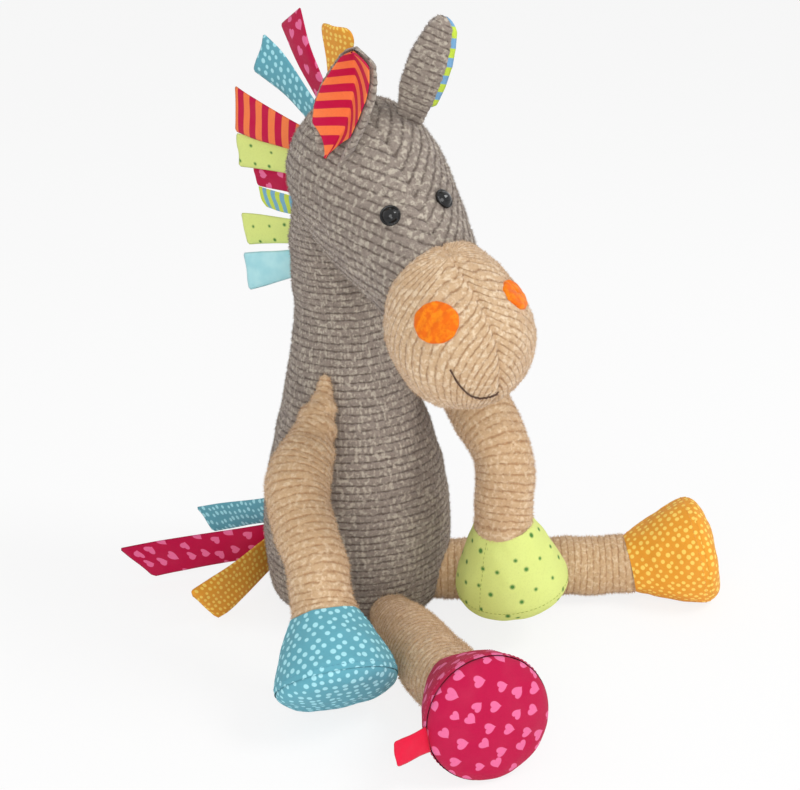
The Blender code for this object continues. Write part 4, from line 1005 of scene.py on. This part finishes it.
for seed, (name, end, way, seam_at, mouth_radius, cloth, thread) in enumerate(HOOVES):
    end, way = Vector(end), Vector(way).normalized()
    side = Matrix.Rotation(math.radians(seam_at), 3, way) @ way.cross(UP).normalized()
    over = way.cross(side)
    rim, length = end + way * HOOF_LENGTH, HOOF_LENGTH
    if name == "right_foreleg":
        end, length = end + way * FRONT_HOOF_DROP, HOOF_LENGTH - FRONT_HOOF_DROP
        mouth_radius *= FRONT_HOOF_MOUTH_SHARE
    profile = [(end - way * 0.0006, mouth_radius * 0.985)]
    flare = HOOF_RADIUS - mouth_radius
    profile += [(end + way * (length * share), mouth_radius + flare * wide) for share, wide in HOOF_PROFILE]
    sides = len(profile)
    profile += [(rim + way * (SOLE_DOME * rise), HOOF_RADIUS * wide) for wide, rise in SOLE_PROFILE]
    flat_rows = [[*spot, radius] for spot, radius in profile]
    cone = dense(flat_rows[:sides], 0.0018, 0.003)
    sole = dense(flat_rows[sides:], 0.0018, 0.002)
    cone[-1], sole[0] = flat_rows[sides - 1], flat_rows[sides]
    points, uv = [], []
    turn = np.linspace(0.0, 2 * math.pi, 97)
    out = np.array([side * math.cos(t) + over * math.sin(t) for t in turn])
    spread = math.sin(math.atan(flare / length))
    slant = 0.0
    for step, (*spot, radius) in enumerate(cone):
        slant += 0.0 if step == 0 else float(np.linalg.norm(cone[step] - cone[step - 1]))
        far = slant + mouth_radius / spread
        points.append(np.array(spot) + out[:-1] * radius)
        uv.append([(far * math.cos(t * spread) + 0.01 * seed, far * math.sin(t * spread)) for t in turn])
    hoof = grid(name + "_hoof_cotton", np.array(points), np.array(uv))
    points, uv = [], []
    reach = [0.0]
    for step in range(len(sole) - 1, 0, -1):
        reach.append(reach[-1] + float(np.linalg.norm(sole[step] - sole[step - 1])))
    for far, (*spot, radius) in zip(reach[::-1], sole):
        points.append(np.array(spot) + out[:-1] * max(radius, 0.0))
        uv.append([(far * math.cos(t) + 0.2, far * math.sin(t)) for t in turn])
    disc = grid(name + "_sole_cotton", np.array(points), np.array(uv))
    last = len(cone) - 1
    for piece, edges, far, seam in ((hoof, (0, last), 0.0032, last), (disc, (0, 1), 0.0022, 1)):
        held = [edge * 96 + column for edge in edges for column in range(96)]
        stuffed(piece, held, 4.0, far)
        points, outward = places_of(piece), places_of(piece, True)
        wave = lumps(points, 0.0075, 40 + seed) * 0.00055 + lumps(points, 0.0032, 50 + seed) * 0.00022
        wave *= np.clip(np.abs(np.arange(len(points)) // 96 - seam) / 3.0, 0.0, 1.0)
        put(piece, points + outward * wave[:, None], 0.0003)
        smoother(piece)
        piece.data.materials.append(cloth)
        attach(piece, name)
    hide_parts(name + "_hoof")
    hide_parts(name + "_sole")
    found = skin(hoof)
    line = []
    for t in np.linspace(0.0, 2 * math.pi, 241):
        ray = side * math.cos(t) + over * math.sin(t)
        start = rim - way * 0.0024
        hit, normal, _, _ = found.ray_cast(start + ray * 0.06, -ray)
        if hit is not None and hit.z > 0.0008:
            line.append(hit + normal * (0.0001 if normal.dot(ray) > 0 else -0.0001))
    stitches = topstitched(name + "_sole_stitches", line, thread, seed)
    line = []
    for share in np.linspace(0.06, 0.93, 40):
        ray = side * math.cos(0.06) + over * math.sin(0.06)
        start = end + way * (length * share)
        hit, normal, _, _ = found.ray_cast(start + ray * 0.06, -ray)
        if hit is not None:
            line.append(hit + normal * (0.0001 if normal.dot(ray) > 0 else -0.0001))
    side_stitches = topstitched(name + "_side_stitches", line, thread, seed)
    for piece in (stitches, side_stitches):
        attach(piece, name)

# Mane and tail
# Cotton tabs, each a strip sewn to a flat tube, turned and pressed. The mane's nine stand in the
# seam down the back of the head, and the tail's three in the back seam of the body.
plain_aqua, tree, shader, bump = cloth_material("plain_aqua", 0.72, 0.2)
flat = node(tree, "ShaderNodeUVMap", set_uv_map="cloth").outputs[0]
faded = ramp(tree, noise(tree, 0.009, 2.0), 0.3, 0.75)
tree.links.new(mixed(tree, faded, colour(163, 220, 228), colour(188, 234, 238)), shader.inputs["Base Color"])
woven(tree, flat, bump)
tab_stripes = print_material("tab_stripes", stripes, First=CARMINE, Second=CORAL, Pitch=0.0078)
sparse_dots = print_material("sparse_dots", dots, Cloth=LIME, Dot=DARK_GREEN, Pitch=0.0100, Size=0.13,
                             Loose=0.4)


def tab(name, low, high, outward, length, tip_width, slant, cloth, thickness=0.0018, curl=0.002,
        twist=0.12, seed=0, rounded=0.0014):
    """A flat cloth tab from its root edge, low to high, out to a tip that is cut at a slant."""
    low, high, outward = Vector(low), Vector(high), Vector(outward).normalized()
    flat_way = outward.cross(high - low).normalized()
    along_edge = flat_way.cross(outward)
    middle = (low + high) * 0.5
    low, high = (middle + (edge - middle) * 1.08 - outward * 0.0022 for edge in (low, high))
    tip_high = length - max(slant, 0.0) * tip_width
    tip_low = length + min(slant, 0.0) * tip_width
    ends = ((low, high), (middle - along_edge * (tip_width * 0.5) + outward * tip_low,
                          middle + along_edge * (tip_width * 0.5) + outward * tip_high))
    width = (high - low).length

    def place(across, along, face):
        share = along ** 0.9
        first, second = (ends[0][side].lerp(ends[1][side], share) for side in (0, 1))
        corner = min((1.0 - along) * length / rounded, 1.0)
        narrow = 1.0 - 2.0 * rounded / tip_width * (1.0 - math.sqrt(1.0 - (1.0 - corner) ** 2))
        waist = 1.0 - 0.06 * math.sin(math.pi * min(share * 1.3, 1.0))
        spot = first.lerp(second, 0.5 + 0.5 * across * narrow * waist)
        full = max(1.0 - across ** 4, 0.0) ** 0.5 * min(along / 0.04, 1.0) ** 0.5
        full *= min((1.0 - along) / 0.03, 1.0) ** 0.5
        crease = 0.18 * math.sin(5.0 * along + 3.0 * across + seed)
        crease += 0.10 * math.sin(11.0 * along - 4.0 * across + 2 * seed)
        puff = thickness * (0.46 + 0.12 * math.sin(math.pi * along)) * full
        bend = curl * math.sin(math.pi * share) * share + twist * across * share * tip_width * 0.5
        bend += thickness * crease * share
        spot = spot + flat_way * (puff * face + bend)
        spot.z = max(spot.z, 0.0003)
        return spot

    def pattern(across, along, face):
        spread = (width + (tip_width - width) * along) * 0.5
        offset = 0.027 * seed + (0.0045 if tip_width < 0.013 else 0.0) + 0.4 * (face < 0)
        return (spread * across + offset, length * along + 0.02 * seed)

    piece = pillow(name + "_cotton", 56, 22, place, pattern)
    piece.data.materials.append(cloth)
    size = (max(width, tip_width, 0.0101), length)
    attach(piece, name)
    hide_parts(name)
    return piece


# name, root edge low and high, the way out, length, width and slant of the tip, cloth, curl
TABS = (
    ("mane_tab_1", (-0.02001, -0.0038, 0.26081), (-0.0252, -0.01363, 0.26449),
     (-0.30185, -0.27411, 0.9131), 0.0385, 0.029, -0.27, orange_dots, 0.002),
    ("mane_tab_2", (-0.01435, 0.00485, 0.25197), (-0.01916, -0.00235, 0.25982),
     (0.00599, 0.49031, 0.87153), 0.04488, 0.0215, 0.03, crimson_hearts, -0.0024),
    ("mane_tab_3", (-0.00998, 0.00932, 0.2399), (-0.01358, 0.00593, 0.25048),
     (-0.04132, 0.77631, 0.629), 0.05104, 0.0224, -0.13, turquoise_dots, 0.003),
    ("mane_tab_4", (-0.00678, 0.01112, 0.22765), (-0.00991, 0.00882, 0.23833),
     (-0.20801, 0.92534, 0.31697), 0.05368, 0.0234, -0.17, tab_stripes, -0.002),
    ("mane_tab_5", (-0.00242, 0.01606, 0.21673), (-0.00645, 0.01151, 0.22685),
     (-0.12682, 0.98617, 0.1067), 0.05236, 0.0186, 0.04, sparse_dots, 0.0014),
    ("mane_tab_6", (0.00196, 0.02085, 0.20542), (-0.00196, 0.01663, 0.21572),
     (-0.03218, 0.9978, 0.05798), 0.04488, 0.011, -0.09, crimson_hearts, 0.001),
    ("mane_tab_7", (0.00618, 0.02523, 0.19391), (0.00234, 0.02121, 0.20431),
     (0.01189, 0.99884, 0.04668), 0.04356, 0.011, -0.31, fine_cool_stripes, -0.001),
    ("mane_tab_8", (0.00962, 0.02742, 0.18131), (0.00655, 0.02545, 0.19253),
     (-0.11199, 0.99077, -0.07644), 0.05016, 0.0172, -0.05, sparse_dots, 0.0018),
    ("mane_tab_9", (0.01261, 0.02856, 0.16858), (0.01005, 0.02784, 0.18006),
     (-0.20941, 0.94033, -0.2682), 0.0506, 0.02, 0.2, plain_aqua, -0.002),
    ("tail_tab_1", (0.0, 0.0467, 0.0287), (0.0, 0.0528, 0.0404),
     (0.0, 0.9312, -0.3645), 0.0722, 0.015, -0.67, turquoise_dots, 0.003),
    ("tail_tab_2", (-0.00379, 0.0468, 0.00974), (-0.00461, 0.0477, 0.0285),
     (-0.74043, 0.66669, -0.10), 0.08755, 0.0185, -0.85, crimson_hearts, 0.003),
    ("tail_tab_3", (-0.00782, 0.04724, 0.0082), (-0.00898, 0.04708, 0.0262),
     (-0.98619, -0.1386, -0.09063), 0.0765, 0.0250, -0.66, orange_dots, -0.002),
)
ROUNDED = {"mane_tab_1": 0.0085, "tail_tab_3": 0.004}      # radius of a tip's corners
for seed, (name, low, high, outward, length, tip_width, slant, cloth, curl) in enumerate(TABS):
    tab(name, low, high, outward, length, tip_width, slant, cloth, curl=curl, seed=seed,
        rounded=ROUNDED.get(name, 0.0014))

# Ribbon
# A short loop of plain red ribbon, held in the seam between the right hind hoof and its sole.
ribbon, tree, shader, bump = cloth_material("red_ribbon", 0.5, 0.2)
flat = node(tree, "ShaderNodeUVMap", set_uv_map="cloth").outputs[0]
tone = mixed(tree, noise(tree, 0.004), colour(226, 0, 58), colour(212, 0, 52))
tree.links.new(tone, shader.inputs["Base Color"])
apart = node(tree, "ShaderNodeSeparateXYZ", Vector=flat)
cords = sums(tree, "SINE", sums(tree, "DIVIDE", apart.outputs[1], 0.00008))
tree.links.new(cords, bump.inputs["Height"])
bump.inputs["Strength"].default_value = 0.4
bump.inputs["Distance"].default_value = 0.0001
tab("label_tab", (-0.11865, -0.13219, 0.02834), (-0.11814, -0.13426, 0.01755), (-0.978, 0.205, 0.016), 0.016,
    0.011, 0.0, ribbon, thickness=0.0012, curl=0.001, twist=0.05)

# Stage
# A pale floor, soft lamps and the photograph's viewpoint.
paper = bpy.data.materials.new("pale_floor")
paper.use_nodes = True
tree = paper.node_tree
shader = tree.nodes["Principled BSDF"]
shader.inputs["Roughness"].default_value = 0.9
shader.inputs["Specular IOR Level"].default_value = 0.1
tone = mixed(tree, noise(tree, 0.4), colour(246, 246, 246), colour(249, 249, 249))
tree.links.new(tone, shader.inputs["Base Color"])
glow = node(tree, "ShaderNodeEmission", Color=(1.0, 1.0, 1.0, 1.0), Strength=1.0)
seen = node(tree, "ShaderNodeLightPath").outputs["Is Camera Ray"]
share = sums(tree, "MULTIPLY", seen, 0.82)
white = node(tree, "ShaderNodeMixShader", i0=share, i1=shader.outputs[0], i2=glow.outputs[0])
tree.links.new(white.outputs[0], tree.nodes["Material Output"].inputs["Surface"])
ground = grid("floor", np.array([[(x, y, 0.0) for x in (-4.0, 4.0)] for y in (-4.0, 4.0)]), wrap=False)
ground.data.materials.append(paper)

world = bpy.data.worlds.new("studio")
bpy.context.scene.world = world
world.use_nodes = True
tree = world.node_tree
soft = tree.nodes["Background"]
soft.inputs["Color"].default_value = (1.0, 1.0, 1.0, 1.0)
soft.inputs["Strength"].default_value = 0.60
white = node(tree, "ShaderNodeBackground", Color=(1.0, 1.0, 1.0, 1.0), Strength=1.0)
paths = node(tree, "ShaderNodeLightPath").outputs
seen = sums(tree, "ADD", paths["Is Camera Ray"], paths["Is Glossy Ray"])
seen = sums(tree, "ADD", seen, paths["Is Transmission Ray"])
chosen = node(tree, "ShaderNodeMixShader", i0=seen, i1=soft.outputs[0], i2=white.outputs[0])
tree.links.new(chosen.outputs[0], tree.nodes["World Output"].inputs["Surface"])

target = Vector((0.0135, -0.0173, 0.110))
CAMERA_RISE = math.radians(20)
away = Vector((-0.7880 * math.cos(CAMERA_RISE), -0.6157 * math.cos(CAMERA_RISE), math.sin(CAMERA_RISE)))


def lamp(name, place, power, size):
    """A square lamp that faces the toy."""
    light = bpy.data.lights.new(name, "AREA")
    light.energy, light.size = power, size
    made = bpy.data.objects.new(name, light)
    made.location = place
    made.rotation_euler = (place - target).to_track_quat("Z", "Y").to_euler()
    bpy.context.scene.collection.objects.link(made)


lamp("key", target + Vector((0.40, -1.05, 1.3)), 11.0, 0.6)
lamp("fill", target + Vector((-1.2, -0.8, 0.45)), 9.5, 0.9)

camera = bpy.data.cameras.new("camera")
camera.lens = 67.5
viewpoint = bpy.data.objects.new("camera", camera)
viewpoint.location = target + away * 0.75
viewpoint.rotation_euler = away.to_track_quat("Z", "Y").to_euler()
bpy.context.scene.collection.objects.link(viewpoint)
bpy.context.scene.camera = viewpoint
bpy.context.scene.view_settings.view_transform = "Standard"
